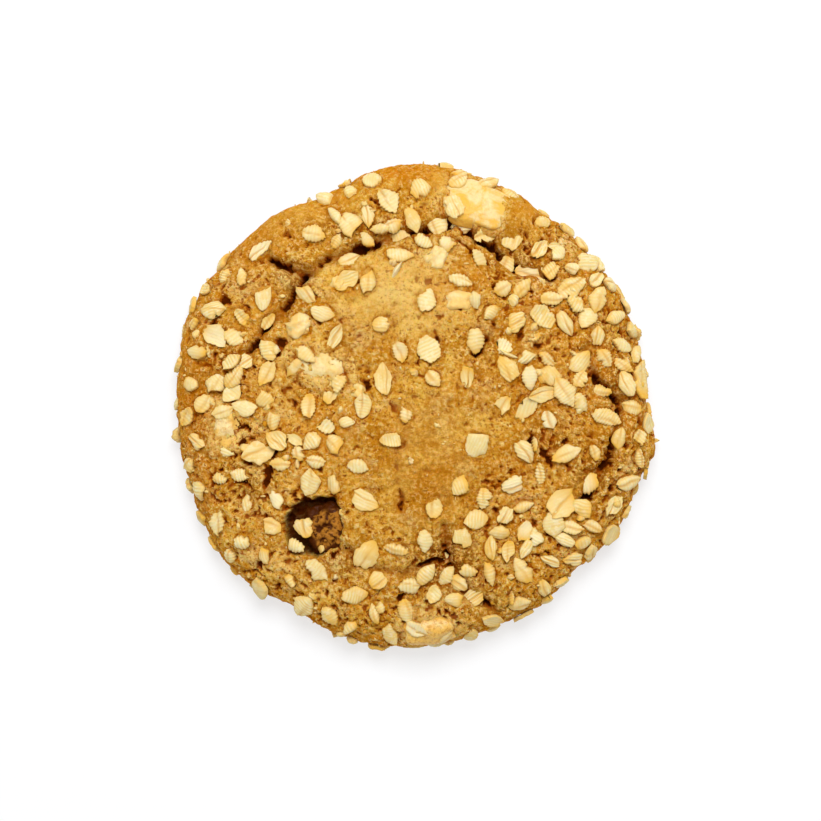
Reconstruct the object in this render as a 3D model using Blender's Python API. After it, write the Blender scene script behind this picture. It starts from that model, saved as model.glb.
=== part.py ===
"""Oat cookie, 100 mm across, with oat flakes and pieces of white and milk chocolate.

The origin is the middle of the flat base, +Z is up, and +Y is the side where the smooth rim folds
over the top. The forms are worked out in millimetres and the meshes are in metres.
"""
import math
import random

import bmesh
import bpy
from mathutils import Matrix, Vector, noise

MM = 0.001

# The dough's cross section, in millimetres
RADIUS = 48.9
SHOULDER_HEIGHT = 12.4
DOME_RISE = 3.4
RIM_WIDTH = 8.6
EDGE_HEIGHT = 5.0
FOOT_WIDTH = 3.6

# Shares of the surface, from the middle of the top, where the top, the rim's upper half and its foot end
TOP_SHARE = 0.47
EDGE_SHARE = 0.77
FOOT_SHARE = 0.95

# Bulges and dips of the outline: angle from +X, height and half width in degrees
BULGES = (
    (88, 1.3, 13), (113, -1.5, 9), (155, 1.0, 14), (176, -0.4, 8), (219, 1.5, 13), (238, -1.0, 6),
    (259, 1.1, 12), (315, -0.8, 6), (331, 1.0, 9), (350, 2.1, 7), (55, -0.5, 14),
)

# Cracks: half width, depth and the points that each runs through
CRACKS = (
    (1.2, 3.4, ((-29, 30), (-22, 27), (-11, 32), (-1, 36), (10, 37), (17, 33), (21, 28), (28, 26))),
    (1.1, 2.4, ((-22, 27), (-24, 21), (-31, 15), (-34, 9))),
    (1.3, 2.6, ((36, 11), (38, 5), (43, 0), (42, -8), (38, -14), (35, -19))),
    (1.2, 2.4, ((7, -25), (7, -31), (11, -38), (17, -42))),
    (1.0, 1.8, ((-14, -29), (-10, -32), (-2, -34), (6, -32))),
    (0.7, 1.4, ((17, 16), (13, 10))),
    (1.0, 1.4, ((-1, -43), (-3, -49))),
    (1.6, 0.7, ((-4, 0), (-1, -5), (-3, -15), (-2, -21))),
)
CRACK_WANDER = 1.3
CRACK_WANDER_SIZE = 5.0
SECOND_FIELD = Vector((7.3, 2.9, 11.7))

# Swellings and pits of the top: x, y, half widths along x and y, height
SWELLINGS = (
    (4, -10, 15, 17, 1.2), (-6, 22, 18, 9, 0.9), (-20, 38, 12, 6, 0.8), (24, 8, 14, 18, 0.5),
    (-28, -12, 9, 14, 0.5), (44, -4, 4, 5, 0.9), (-34, -19, 2.2, 2.6, -1.8), (-40, 3, 3.4, 3.0, -1.2),
    (15, -40, 2.6, 2.2, -2.0), (44, 1, 2.0, 2.0, -1.4), (29, 36, 5, 5, 0.5),
)
LUMPS = ((17.0, 0.55), (7.5, 0.40))
LUMP_FADE_HEIGHT = 4.0

# Pieces of chocolate: name, x, y, half sizes, turn in degrees, and how deep the middle lies
WHITE_PIECES = (
    ("white_chocolate_top", 14.5, 41.0, (8.2, 4.4, 3.0), -20, 1.5),
    ("white_chocolate_left", -18.0, 8.0, (5.4, 3.3, 2.4), -25, 1.6),
    ("white_chocolate_edge", -38.0, -4.5, (2.7, 4.3, 2.2), -5, 1.4),
    ("white_chocolate_bottom", 4.0, -46.0, (5.2, 3.0, 2.6), 5, 1.2),
)
MILK_PIECE = ("milk_chocolate_chunk", -17.0, -25.0, (4.5, 4.6, 2.4), 15, 2.4)
PIECE_BOXINESS = 2.8
PIECE_UNEVENNESS = 0.22
GAP = 0.3
HOLLOW_GAP = 1.1
HOLLOW_RISE = 2.4

# Small chips baked into the dough: x, y, half sizes
CHIPS = ((5.5, 30.5, (1.5, 2.1, 1.3)), (9.7, 21.5, (2.4, 1.6, 1.3)), (-23.0, 16.5, (1.7, 2.4, 1.5)),
         (-11.2, 3.2, (1.3, 1.3, 1.1)), (-15.0, 25.0, (1.1, 1.1, 1.0)))
CHIP_SINK = 0.4

# Oat flakes that stand out: x, y, length, width and turn in degrees
RIM_FLAKES = (
    (-8, 46.5, 4.6, 4.2, 60), (-5, 42, 5.8, 4.2, -50), (-17.5, 42.5, 5.4, 3.4, -15),
    (-9, 39, 5.6, 2.9, -80), (2, 44.5, 5.4, 4.2, 40), (8, 40.5, 6.2, 4.2, -70),
    (-20, 35, 5.4, 4.2, -10), (-9, 34, 4.6, 2.6, -55), (-31, 32, 6.2, 2.8, 40),
    (-30, 22.5, 6.2, 4.0, 80), (20.5, 34.5, 5.8, 5.0, 80),
)
DOME_FLAKES = (
    (-13, 30, 5.0, 3.5, 25), (-13, 25.5, 5.8, 4.2, 35), (-9, 25.5, 6.2, 3.5, 85),
    (-2.5, 31, 6.2, 3.1, -5), (7.5, 33, 4.6, 3.3, -35), (14, 30, 5.4, 2.4, -60),
    (10, 25.5, 5.4, 2.9, -20), (3, 21.5, 5.4, 4.0, 75), (-18, 19, 5.4, 3.7, -10),
    (-15.5, 14, 6.2, 3.1, 65), (-6, 16.5, 4.6, 3.5, 10), (-5.5, 5.5, 7.0, 4.2, 95),
    (4, 11.5, 7.0, 4.8, -65), (11.5, 6.5, 5.8, 2.8, 85), (-16, 3, 6.6, 2.9, 60),
)
LOWER_FLAKES = (
    (-1, -1.5, 4.2, 3.1, 80), (-4, -7, 5.4, 3.1, -5), (13.5, -8, 5.8, 5.4, 45),
    (-15.5, -8, 5.4, 3.7, -50), (-9.5, -19, 6.2, 4.6, -30), (-15.5, -16, 5.4, 2.7, -75),
    (-19, -33.5, 7.4, 4.0, -55), (-6.5, -35.5, 5.0, 4.6, 30), (0, -36.5, 5.8, 3.7, -5),
    (-3, -29, 5.4, 2.7, -15), (4.5, -20.5, 4.6, 3.5, 80), (10.5, -16, 5.4, 3.7, 45),
    (21, -16, 5.8, 3.7, 15),
)
RIGHT_FLAKES = (
    (32.5, 24.5, 7.0, 4.6, 30), (24.5, 27.5, 6.6, 4.2, -10), (19.5, 7, 7.0, 4.2, -60),
    (31.5, -9.5, 7.0, 4.0, 20), (31, -20, 8.2, 5.8, 45), (47.4, 5.5, 9.0, 5.0, 85),
)

# The other flakes follow a rule
FLAKE_SEED = 41
FLAKE_TRIES = 7000
FLAKE_LENGTH = (5.4, 0.8)
FLAKE_SLIMNESS = (0.50, 0.80)
FLAKE_SPACING = 0.84
FLAKE_ROOM = 1.1
FLAKE_CROWDING = 0.46
FLAKE_OVERLAP = 0.72
FLAKE_LIFT = 0.45
FLAKE_THICKNESS = 1.1
FLAKE_STAND = 0.62
FLAKE_CROWN = 0.25
FLAKE_TILT = 12.0
FLAKE_REACH = 0.88
FLAKE_LOWEST = 0.6
FUSED_FLAKES = 102

# Bare places: x, y, half widths along x and y
BARE_PLACES = (
    (5, -8, 15, 13), (2, -17, 11, 9), (-4, 21, 17, 9), (-34, 37, 8, 6), (-26, 42, 9, 5), (-2, 49, 9, 3),
    (-23, 30, 8, 5), (-12, 10, 7, 6), (-17, -25, 6.4, 6.0), (-26, 0, 4, 3), (4, -41, 5, 2), (26, 14, 3, 3),
)

# Crowded places, where flakes lie on each other: x, y, half widths along x and y
CROWDED_PLACES = (
    (31, 23, 14, 11), (27, 5, 11, 9), (21, -26, 13, 8), (-37, 6, 8, 15), (-23, -9, 9, 7), (-6, 37, 13, 5),
    (44, 4, 5, 14), (-13, 26, 6, 5), (4, -36, 12, 5), (-17, 19, 5, 7), (33, -24, 8, 8),
)

ICOSPHERE_STEPS = 6
DOUGH_FACES_KEPT = 0.18
PIECE_STEPS = 3
CHIP_STEPS = 2


def bump(distance, width):
    """A smooth hill, one high, that fades over the width."""
    return math.exp(-(distance / width) ** 2)


def outline(angle):
    """Radius of the dough at its widest, at an angle in radians from +X."""
    radius = RADIUS
    for place, height, width in BULGES:
        turn = (math.degrees(angle) - place + 180) % 360 - 180
        radius += height * bump(turn, width)
    return radius


def section(share, radius):
    """Point and outward direction of the cross section, as (distance from the axis, height)."""
    inner = radius - RIM_WIDTH
    rise = SHOULDER_HEIGHT - EDGE_HEIGHT
    if share < TOP_SHARE:
        r = inner * math.sqrt(max(share, 0) / TOP_SHARE)
        point = (r, SHOULDER_HEIGHT + DOME_RISE * (1 - (r / inner) ** 2))
        normal = (2 * DOME_RISE * r / inner ** 2, 1)
    elif share < EDGE_SHARE:
        turn = math.pi / 2 * (share - TOP_SHARE) / (EDGE_SHARE - TOP_SHARE)
        point = (inner + RIM_WIDTH * math.sin(turn), EDGE_HEIGHT + rise * math.cos(turn))
        normal = (math.sin(turn) * rise, math.cos(turn) * RIM_WIDTH)
    elif share < FOOT_SHARE:
        turn = math.pi / 2 * (share - EDGE_SHARE) / (FOOT_SHARE - EDGE_SHARE)
        point = (radius - FOOT_WIDTH * (1 - math.cos(turn)), EDGE_HEIGHT * (1 - math.sin(turn)))
        normal = (math.cos(turn) * EDGE_HEIGHT, -math.sin(turn) * FOOT_WIDTH)
    else:
        point = ((radius - FOOT_WIDTH) * math.sqrt(max(1 - share, 0) / (1 - FOOT_SHARE)), 0)
        normal = (0, -1)
    return Vector(point), Vector(normal).normalized()


def share_at(x, y):
    """Share of the surface inside a place of the top or of the rim's upper half, seen from above."""
    radius = outline(math.atan2(y, x))
    inner = radius - RIM_WIDTH
    r = math.hypot(x, y)
    if r < inner:
        return TOP_SHARE * (r / inner) ** 2
    turn = math.asin(min((r - inner) / RIM_WIDTH, 1))
    return TOP_SHARE + (EDGE_SHARE - TOP_SHARE) * turn / (math.pi / 2)


def distance_to_path(place, path):
    """Shortest distance from a place to a line through the path's points."""
    best = math.inf
    for start, end in zip(path, path[1:]):
        start = Vector(start)
        run = Vector(end) - start
        along = max(0, min(1, (place - start).dot(run) / run.length_squared))
        best = min(best, (place - start - along * run).length)
    return best


def relief(point, upward):
    """Height of the dough's crags above the plain form."""
    place = Vector((point.x, point.y))
    wander = Vector((point.x, point.y, 0)) / CRACK_WANDER_SIZE
    shifted = place + CRACK_WANDER * Vector((noise.noise(wander), noise.noise(wander + SECOND_FIELD)))
    height = 0
    for width, depth, path in CRACKS:
        height -= depth * bump(distance_to_path(shifted, path), width)
    for x, y, half_x, half_y, rise in SWELLINGS:
        height += rise * bump(math.hypot((point.x - x) / half_x, (point.y - y) / half_y), 1)
    height *= max(upward, 0)
    fade = min(max(point.z, 0) / LUMP_FADE_HEIGHT, 1)
    for size, rise in LUMPS:
        height += fade * rise * noise.noise(point / size)
    return height


def skin(angle, share):
    """Point of the dough's surface in millimetres, and the plain form's outward direction there."""
    point, normal = section(share, outline(angle))
    out = Vector((math.cos(angle), math.sin(angle), 0))
    up = Vector((0, 0, 1))
    place = out * point.x + up * point.y
    direction = out * normal.x + up * normal.y
    return place + direction * relief(place, direction.z), direction


def skin_at(x, y):
    """The same for a place seen from above."""
    return skin(math.atan2(y, x), share_at(x, y))


def standing_frame(point, normal, turn, tilt=(0, 0)):
    """Matrix with its Z along the normal, turned about it, and then tilted about its own X and Y."""
    across = Vector((-math.sin(turn), math.cos(turn), 0))
    along = across.cross(normal).normalized()
    across = normal.cross(along)
    frame = Matrix((along, across, normal)).transposed().to_4x4()
    frame.translation = point
    return frame @ Matrix.Rotation(tilt[0], 4, "X") @ Matrix.Rotation(tilt[1], 4, "Y")


def make_material(name, colour, roughness):
    """A plain material in the food's colour."""
    material = bpy.data.materials.new(name)
    material.use_nodes = True
    shader = material.node_tree.nodes["Principled BSDF"]
    shader.inputs["Base Color"].default_value = (*colour, 1)
    shader.inputs["Roughness"].default_value = roughness
    shader.inputs["Metallic"].default_value = 0
    return material


def make_object(name, mesh_builder, collection, material=None):
    """An object whose mesh is written in millimetres by the builder."""
    shape = bmesh.new()
    mesh_builder(shape)
    bmesh.ops.scale(shape, vec=(MM, MM, MM), verts=shape.verts)
    mesh = bpy.data.meshes.new(name)
    shape.to_mesh(mesh)
    shape.free()
    piece = bpy.data.objects.new(name, mesh)
    collection.objects.link(piece)
    if material:
        mesh.materials.append(material)
    return piece


def build_dough(shape):
    """The dough, from a sphere whose shares of surface are laid along the cross section."""
    bmesh.ops.create_icosphere(shape, subdivisions=ICOSPHERE_STEPS, radius=1)
    for vertex in shape.verts:
        share = (1 - max(-1, min(1, vertex.co.z))) / 2
        angle = math.atan2(vertex.co.y, vertex.co.x)
        on_base = share >= FOOT_SHARE
        vertex.co, _ = skin(angle, share)
        vertex.co.z = 0 if on_base else max(vertex.co.z, 0)
    base = [face for face in shape.faces if max(vertex.co.z for vertex in face.verts) <= 0]
    bmesh.ops.dissolve_faces(shape, faces=base)


def piece_form(shape, half_sizes, frame, grow=0, rise=0, steps=PIECE_STEPS):
    """A rounded, uneven block, grown on all sides and upwards by millimetres."""
    bmesh.ops.create_icosphere(shape, subdivisions=steps, radius=1)
    sizes = [half + grow for half in half_sizes]
    for vertex in shape.verts:
        direction = vertex.co.normalized()
        reach = sum(abs(part) ** PIECE_BOXINESS for part in direction) ** (-1 / PIECE_BOXINESS)
        reach *= 1 + PIECE_UNEVENNESS * noise.noise(direction * 1.7 + Vector(half_sizes))
        local = Vector(part * size * reach for part, size in zip(direction, sizes))
        if local.z > 0:
            local.z *= 1 + rise / sizes[2]
        vertex.co = frame @ local


def piece_frame(x, y, turn, sink):
    """Frame of a piece whose middle lies a little under the dough's surface."""
    point, normal = skin_at(x, y)
    return standing_frame(point - sink * normal, normal, math.radians(turn))


def flake_outline(length, width):
    """Eight points of a leaf, blunt at one end and pointed at the other."""
    stations = ((-0.55, 0.82), (0.05, 1.0), (0.62, 0.66))
    upper = [(along * length / 2, share * width / 2) for along, share in stations]
    lower = [(x, -y) for x, y in reversed(upper)]
    return [(-length / 2, 0), *upper, (length / 2, 0), *lower]


def build_flake(shape, flake):
    """One oat flake: a thin leaf with a low crown, half sunk in the dough."""
    length, width, frame = flake
    rim = flake_outline(length, width)
    top = [shape.verts.new(frame @ Vector((x, y, FLAKE_STAND))) for x, y in reversed(rim)]
    low = [shape.verts.new(frame @ Vector((x, y, FLAKE_STAND - FLAKE_THICKNESS))) for x, y in reversed(rim)]
    crown = shape.verts.new(frame @ Vector((0, 0, FLAKE_STAND + FLAKE_CROWN)))
    for index, vertex in enumerate(top):
        following = (index + 1) % len(top)
        shape.faces.new((vertex, top[following], crown))
        shape.faces.new((vertex, low[index], low[following], top[following]))
    shape.faces.new(reversed(low))


def lowest_point(flake):
    """Height of a flake's lowest corner, so that none reaches the table."""
    length, width, frame = flake[2:]
    return min((frame @ Vector((x, y, -FLAKE_THICKNESS))).z for x, y in flake_outline(length, width))


def inside(x, y, place):
    """Whether a place seen from above is inside an ellipse."""
    return math.hypot((x - place[0]) / place[2], (y - place[1]) / place[3]) < 1


def hand_placed_flakes():
    """The flakes that stand out, as (x, y, length, width, frame)."""
    draw = random.Random(FLAKE_SEED)
    flakes = []
    for x, y, length, width, turn in RIM_FLAKES + DOME_FLAKES + LOWER_FLAKES + RIGHT_FLAKES:
        point, normal = skin_at(x, y)
        tilt = [math.radians(draw.uniform(-FLAKE_TILT, FLAKE_TILT)) for _ in range(2)]
        flakes.append((x, y, length, width, standing_frame(point, normal, math.radians(turn), tilt)))
    return flakes


def crowding(x, y):
    """Share of the flakes' spacing that is lost at a place seen from above."""
    nearest = min(math.hypot((x - place[0]) / place[2], (y - place[1]) / place[3]) for place in CROWDED_PLACES)
    return FLAKE_CROWDING * bump(nearest, 1)


def scattered_flakes(taken):
    """The other flakes, thrown over the top and the rim and spaced out, as (x, y, length, width, frame)."""
    draw = random.Random(FLAKE_SEED + 1)
    flakes = []
    for _ in range(FLAKE_TRIES):
        angle = draw.uniform(-math.pi, math.pi)
        share = draw.uniform(0, FLAKE_REACH)
        length = max(3.6, draw.gauss(*FLAKE_LENGTH))
        width = length * draw.uniform(*FLAKE_SLIMNESS)
        turn = draw.uniform(-math.pi, math.pi)
        tilt = [math.radians(draw.uniform(-FLAKE_TILT, FLAKE_TILT)) for _ in range(2)]
        point, normal = skin(angle, share)
        if any(inside(point.x, point.y, place) for place in BARE_PLACES):
            continue
        room = 1 - crowding(point.x, point.y)
        gaps = [((point - other[4].translation).length, (length + other[2]) / 2) for other in taken + flakes]
        if any(gap < room * (FLAKE_SPACING * reach + FLAKE_ROOM) for gap, reach in gaps):
            continue
        lift = FLAKE_LIFT if any(gap < FLAKE_OVERLAP * reach for gap, reach in gaps) else 0
        frame = standing_frame(point + lift * normal, normal, turn, tilt)
        flake = (point.x, point.y, length, width, frame)
        if lowest_point(flake) > FLAKE_LOWEST:
            flakes.append(flake)
    return flakes


def clear_of_pieces(flake):
    """Whether a flake keeps off the pieces of chocolate, which are solids of their own."""
    x, y, length = flake[:3]
    for _, piece_x, piece_y, half_sizes, _, _ in (*WHITE_PIECES, MILK_PIECE):
        reach = max(half_sizes[:2]) + HOLLOW_GAP + length / 2
        if math.hypot(x - piece_x, y - piece_y) < reach:
            return False
    return True


def apply_modifiers(piece):
    """Keep the shape that the modifiers give, and drop the modifiers."""
    graph = bpy.context.evaluated_depsgraph_get()
    mesh = bpy.data.meshes.new_from_object(piece.evaluated_get(graph))
    piece.modifiers.clear()
    piece.data = mesh


def keep_largest_body(piece):
    """Fill the hollows that fusing sealed, and drop loose scraps: both are meshes of their own."""
    shape = bmesh.new()
    shape.from_mesh(piece.data)
    left = set(shape.verts)
    bodies = []
    while left:
        body = set()
        edge_of_body = [left.pop()]
        while edge_of_body:
            vertex = edge_of_body.pop()
            body.add(vertex)
            neighbours = {edge.other_vert(vertex) for edge in vertex.link_edges} & left
            left -= neighbours
            edge_of_body.extend(neighbours)
        bodies.append(body)
    largest = max(bodies, key=len)
    bmesh.ops.delete(shape, geom=[vertex for vertex in shape.verts if vertex not in largest], context="VERTS")
    shape.to_mesh(piece.data)
    shape.free()


def fuse(piece, collection, operation):
    """Join or cut a piece with everything in a collection, and then remove the collection's objects."""
    modifier = piece.modifiers.new(operation.title(), "BOOLEAN")
    modifier.operation = operation
    modifier.operand_type = "COLLECTION"
    modifier.collection = collection
    apply_modifiers(piece)
    keep_largest_body(piece)
    for helper in list(collection.objects):
        bpy.data.objects.remove(helper, do_unlink=True)


def new_collection(name):
    """A collection in the scene."""
    collection = bpy.data.collections.new(name)
    bpy.context.scene.collection.children.link(collection)
    return collection


def make_pieces(collection, cutters):
    """The pieces of chocolate, and the sockets that they sit in."""
    white = make_material("white chocolate", (0.86, 0.68, 0.33), 0.45)
    milk = make_material("milk chocolate", (0.17, 0.06, 0.02), 0.40)
    for name, x, y, half_sizes, turn, sink in WHITE_PIECES:
        frame = piece_frame(x, y, turn, sink)
        make_object(name, lambda shape: piece_form(shape, half_sizes, frame), collection, white)
        make_object(name + "_socket", lambda shape: piece_form(shape, half_sizes, frame, GAP), cutters)
    name, x, y, half_sizes, turn, sink = MILK_PIECE
    frame = piece_frame(x, y, turn, sink)
    make_object(name, lambda shape: piece_form(shape, half_sizes, frame), collection, milk)
    hollow_sizes = (half_sizes[0] + HOLLOW_GAP, half_sizes[1] + HOLLOW_GAP, half_sizes[2] + GAP)
    make_object(name + "_hollow", lambda shape: piece_form(shape, hollow_sizes, frame, 0, HOLLOW_RISE), cutters)


def make_toppings(toppings):
    """The chips and flakes that are baked onto the dough."""
    for index, (x, y, half_sizes) in enumerate(CHIPS):
        frame = piece_frame(x, y, 0, CHIP_SINK)
        make_object(f"chip_{index}", lambda shape: piece_form(shape, half_sizes, frame, steps=CHIP_STEPS), toppings)
    placed = hand_placed_flakes()
    scattered = sorted(scattered_flakes(placed), key=lambda flake: -flake[2])
    kept = [flake for flake in placed + scattered if clear_of_pieces(flake)]
    for index, flake in enumerate(kept[:FUSED_FLAKES]):
        make_object(f"flake_{index}", lambda shape: build_flake(shape, flake[2:]), toppings)


def main():
    """Build the cookie and its pieces of chocolate."""
    for old in list(bpy.data.objects):
        bpy.data.objects.remove(old, do_unlink=True)
    collection = new_collection("oat_cookie")
    cutters = new_collection("cutters")
    toppings = new_collection("toppings")

    dough_colour = make_material("baked dough", (0.60, 0.32, 0.09), 0.8)
    cookie = make_object("cookie", build_dough, collection, dough_colour)
    thinning = cookie.modifiers.new("Thinning", "DECIMATE")
    thinning.ratio = DOUGH_FACES_KEPT
    apply_modifiers(cookie)
    make_pieces(collection, cutters)
    fuse(cookie, cutters, "DIFFERENCE")
    make_toppings(toppings)
    fuse(cookie, toppings, "UNION")


main()
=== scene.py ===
"""Looks of an oat cookie with white and milk chocolate."""

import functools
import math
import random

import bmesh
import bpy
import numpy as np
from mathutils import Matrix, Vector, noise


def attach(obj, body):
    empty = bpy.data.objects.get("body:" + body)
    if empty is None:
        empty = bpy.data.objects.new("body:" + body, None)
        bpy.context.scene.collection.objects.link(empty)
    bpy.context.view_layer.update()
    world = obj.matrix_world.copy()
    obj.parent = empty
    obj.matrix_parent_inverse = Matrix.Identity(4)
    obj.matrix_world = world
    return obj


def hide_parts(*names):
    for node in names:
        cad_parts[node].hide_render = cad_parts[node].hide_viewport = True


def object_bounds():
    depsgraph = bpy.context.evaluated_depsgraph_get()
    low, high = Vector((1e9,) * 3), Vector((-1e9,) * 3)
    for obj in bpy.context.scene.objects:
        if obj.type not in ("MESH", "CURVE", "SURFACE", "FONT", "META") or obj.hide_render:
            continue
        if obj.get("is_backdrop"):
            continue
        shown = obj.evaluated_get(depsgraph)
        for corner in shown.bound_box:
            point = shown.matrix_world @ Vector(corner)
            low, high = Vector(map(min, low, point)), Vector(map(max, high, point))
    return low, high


bl_info = {
    "name": "Oat Cookie",
    "version": (1, 0, 0),
    "blender": (4, 5, 0),
    "location": "3D View > Sidebar > Oat Cookie",
    "description": "Builds a baked oat cookie with its flakes, chocolate and crumbs around a solid model",
    "category": "Object",
}

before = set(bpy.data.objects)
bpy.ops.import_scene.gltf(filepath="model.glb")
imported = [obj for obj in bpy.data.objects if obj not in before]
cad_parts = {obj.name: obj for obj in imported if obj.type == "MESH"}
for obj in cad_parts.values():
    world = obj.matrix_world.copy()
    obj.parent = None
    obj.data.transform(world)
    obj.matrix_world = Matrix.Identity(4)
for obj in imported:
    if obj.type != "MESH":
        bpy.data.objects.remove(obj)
SOLID_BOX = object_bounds()

MM = 0.001

# The dough's cross section, in millimetres
RADIUS = 48.9
SHOULDER_HEIGHT = 12.4
DOME_RISE = 3.4
RIM_WIDTH = 8.6
EDGE_HEIGHT = 5.0
FOOT_WIDTH = 3.6

# Shares of the surface, from the middle of the top, where the top, the rim's upper half and its foot end
TOP_SHARE = 0.47
EDGE_SHARE = 0.77
FOOT_SHARE = 0.95

# Bulges and dips of the outline: angle from +X, height and half width in degrees
BULGES = (
    (88, 1.3, 13), (113, -1.5, 9), (155, 1.0, 14), (176, -0.4, 8), (219, 1.5, 13), (238, -1.0, 6),
    (259, 1.1, 12), (315, -0.8, 6), (331, 1.0, 9), (350, 2.1, 7), (55, -0.5, 14),
)

# Cracks: half width, depth and the points that each runs through
CRACKS = (
    (1.2, 3.4, ((-29, 30), (-22, 27), (-11, 32), (-1, 36), (10, 37), (17, 33), (21, 28), (28, 26))),
    (1.1, 2.4, ((-22, 27), (-24, 21), (-31, 15), (-34, 9))),
    (1.3, 2.6, ((36, 11), (38, 5), (43, 0), (42, -8), (38, -14), (35, -19))),
    (1.2, 2.4, ((7, -25), (7, -31), (11, -38), (17, -42))),
    (1.0, 1.8, ((-14, -29), (-10, -32), (-2, -34), (6, -32))),
    (0.7, 1.4, ((17, 16), (13, 10))),
    (1.0, 1.4, ((-1, -43), (-3, -49))),
    (1.6, 0.7, ((-4, 0), (-1, -5), (-3, -15), (-2, -21))),
)
CRACK_WANDER = 1.3
CRACK_WANDER_SIZE = 5.0
SECOND_FIELD = (7.3, 2.9, 11.7)

# Swellings and pits of the top: x, y, half widths along x and y, height
SWELLINGS = (
    (4, -10, 15, 17, 1.2), (-6, 22, 18, 9, 0.9), (-20, 38, 12, 6, 0.8), (24, 8, 14, 18, 0.5),
    (-28, -12, 9, 14, 0.5), (44, -4, 4, 5, 0.9), (-34, -19, 2.2, 2.6, -1.8), (-40, 3, 3.4, 3.0, -1.2),
    (15, -40, 2.6, 2.2, -2.0), (44, 1, 2.0, 2.0, -1.4), (29, 36, 5, 5, 0.5),
)
LUMPS = ((17.0, 0.55), (7.5, 0.40))
LUMP_FADE_HEIGHT = 4.0

# Pieces of chocolate: name, x, y, half sizes, turn in degrees, and how deep the middle lies
WHITE_PIECES = (
    ("white_chocolate_top", 14.5, 41.0, (8.2, 4.4, 3.0), -20, 1.5),
    ("white_chocolate_left", -18.0, 8.0, (5.4, 3.3, 2.4), -25, 1.6),
    ("white_chocolate_edge", -38.0, -4.5, (2.7, 4.3, 2.2), -5, 1.4),
    ("white_chocolate_bottom", 4.0, -46.0, (5.2, 3.0, 2.6), 5, 1.2),
)
MILK_PIECE = ("milk_chocolate_chunk", -17.0, -25.0, (4.5, 4.6, 2.4), 15, 2.4)
PIECE_BOXINESS = 2.8
PIECE_UNEVENNESS = 0.22
SEAT_GROWTH = 0.35

# How yellow and how speckled each piece is
WHITE_LOOKS = {
    "white_chocolate_top": (0.95, 0.15), "white_chocolate_left": (0.5, 0.2),
    "white_chocolate_edge": (0.8, 0.5), "white_chocolate_bottom": (0.8, 0.9),
}
CHIP_LOOK = (0.6, 0.0)

# Lumps of the pieces' surface as (size, height), and between which shares of the height they turn pale
MELTED_LUMPS = ((3.2, 0.20), (1.0, 0.10))
MELTED_LEVELS = (0.25, 0.95)
CHIP_LUMPS = ((1.7, 0.22), (0.8, 0.25))
CHIP_LEVELS = (-0.3, 0.6)
MILK_RIDGES = ((2.0, 0.45), (0.9, 0.40), (0.5, 0.20))
MILK_SPLIT_SIZE = 3.4
MILK_SPLIT_WIDTH = 0.045
MILK_SPLIT_DEPTH = 0.35
# Where the painted shade round the milk chocolate's edge starts and ends, as shares of its reach
MILK_EDGE_SHADE = (0.66, 0.92)
MILK_EDGE_RAGS = ((1.3, 0.15),)

# The hollow round the milk chocolate, whose lower walls are painted dark as shade, and banks of dough
# against the pieces
HOLLOW_PLACE = (-19.9, -24.5)
HOLLOW_RADII = (5.9, 5.8)
HOLLOW_DEPTH = 4.2
HOLLOW_WALL = (0.84, 1.06)
HOLLOW_RAGS = ((2.6, 0.16), (1.0, 0.07))
HOLLOW_SHADE = 0.95
HOLLOW_SHADE_DEPTHS = (0.15, 0.7)
BANK_HEIGHT = 0.9
BANK_SPREAD = (0.3, 2.4)
HIGH_BANKS = ((-12.2, -24.5, 2.6, 5.5, 1.5), (22.0, 40.8, 4.6, 4.6, 2.3))
CREAM_SPREAD = (0.2, 1.9)
CREAM_RAGS = ((1.8, 0.7),)

# Small chips baked into the dough: x, y, half sizes
CHIPS = ((5.5, 30.5, (1.5, 2.1, 1.3)), (9.7, 21.5, (2.4, 1.6, 1.3)), (-23.0, 16.5, (1.7, 2.4, 1.5)),
         (-11.2, 3.2, (1.3, 1.3, 1.1)), (-15.0, 25.0, (1.1, 1.1, 1.0)))
CHIP_SINK = 0.75
CHIP_TURN = (-40, 40)

# Oat flakes that stand out: x, y, length, width and turn in degrees
RIM_FLAKES = (
    (-8, 46.5, 4.6, 4.2, 60), (-5, 42, 5.8, 4.2, -50), (-17.5, 42.5, 5.4, 3.4, -15),
    (-9, 39, 5.6, 2.9, -80), (2, 44.5, 5.4, 4.2, 40), (8, 40.5, 6.2, 4.2, -70),
    (-20, 35, 5.4, 4.2, -10), (-9, 34, 4.6, 2.6, -55), (-31, 32, 6.2, 2.8, 40),
    (-30, 22.5, 6.2, 4.0, 80), (20.5, 34.5, 5.8, 5.0, 80),
)
DOME_FLAKES = (
    (-13, 30, 5.0, 3.5, 25), (-13, 25.5, 5.8, 4.2, 35), (-9, 25.5, 6.2, 3.5, 85),
    (-2.5, 31, 6.2, 3.1, -5), (7.5, 33, 4.6, 3.3, -35), (14, 30, 5.4, 2.4, -60),
    (10, 25.5, 5.4, 2.9, -20), (3, 21.5, 5.4, 4.0, 75), (-18, 19, 5.4, 3.7, -10),
    (-15.5, 14, 6.2, 3.1, 65), (-6, 16.5, 4.6, 3.5, 10), (-5.5, 5.5, 7.0, 4.2, 95),
    (4, 11.5, 7.0, 4.8, -65), (11.5, 6.5, 5.8, 2.8, 85), (-16, 3, 6.6, 2.9, 60),
)
LOWER_FLAKES = (
    (-1, -1.5, 4.2, 3.1, 80), (-4, -7, 5.4, 3.1, -5), (13.5, -8, 5.8, 5.4, 45),
    (-15.5, -8, 5.4, 3.7, -50), (-9.5, -19, 6.2, 4.6, -30), (-15.5, -16, 5.4, 2.7, -75),
    (-19, -33.5, 7.4, 4.0, -55), (-6.5, -35.5, 5.0, 4.6, 30), (0, -36.5, 5.8, 3.7, -5),
    (-3, -29, 5.4, 2.7, -15), (4.5, -20.5, 4.6, 3.5, 80), (10.5, -16, 5.4, 3.7, 45),
    (21, -16, 5.8, 3.7, 15),
)
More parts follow.
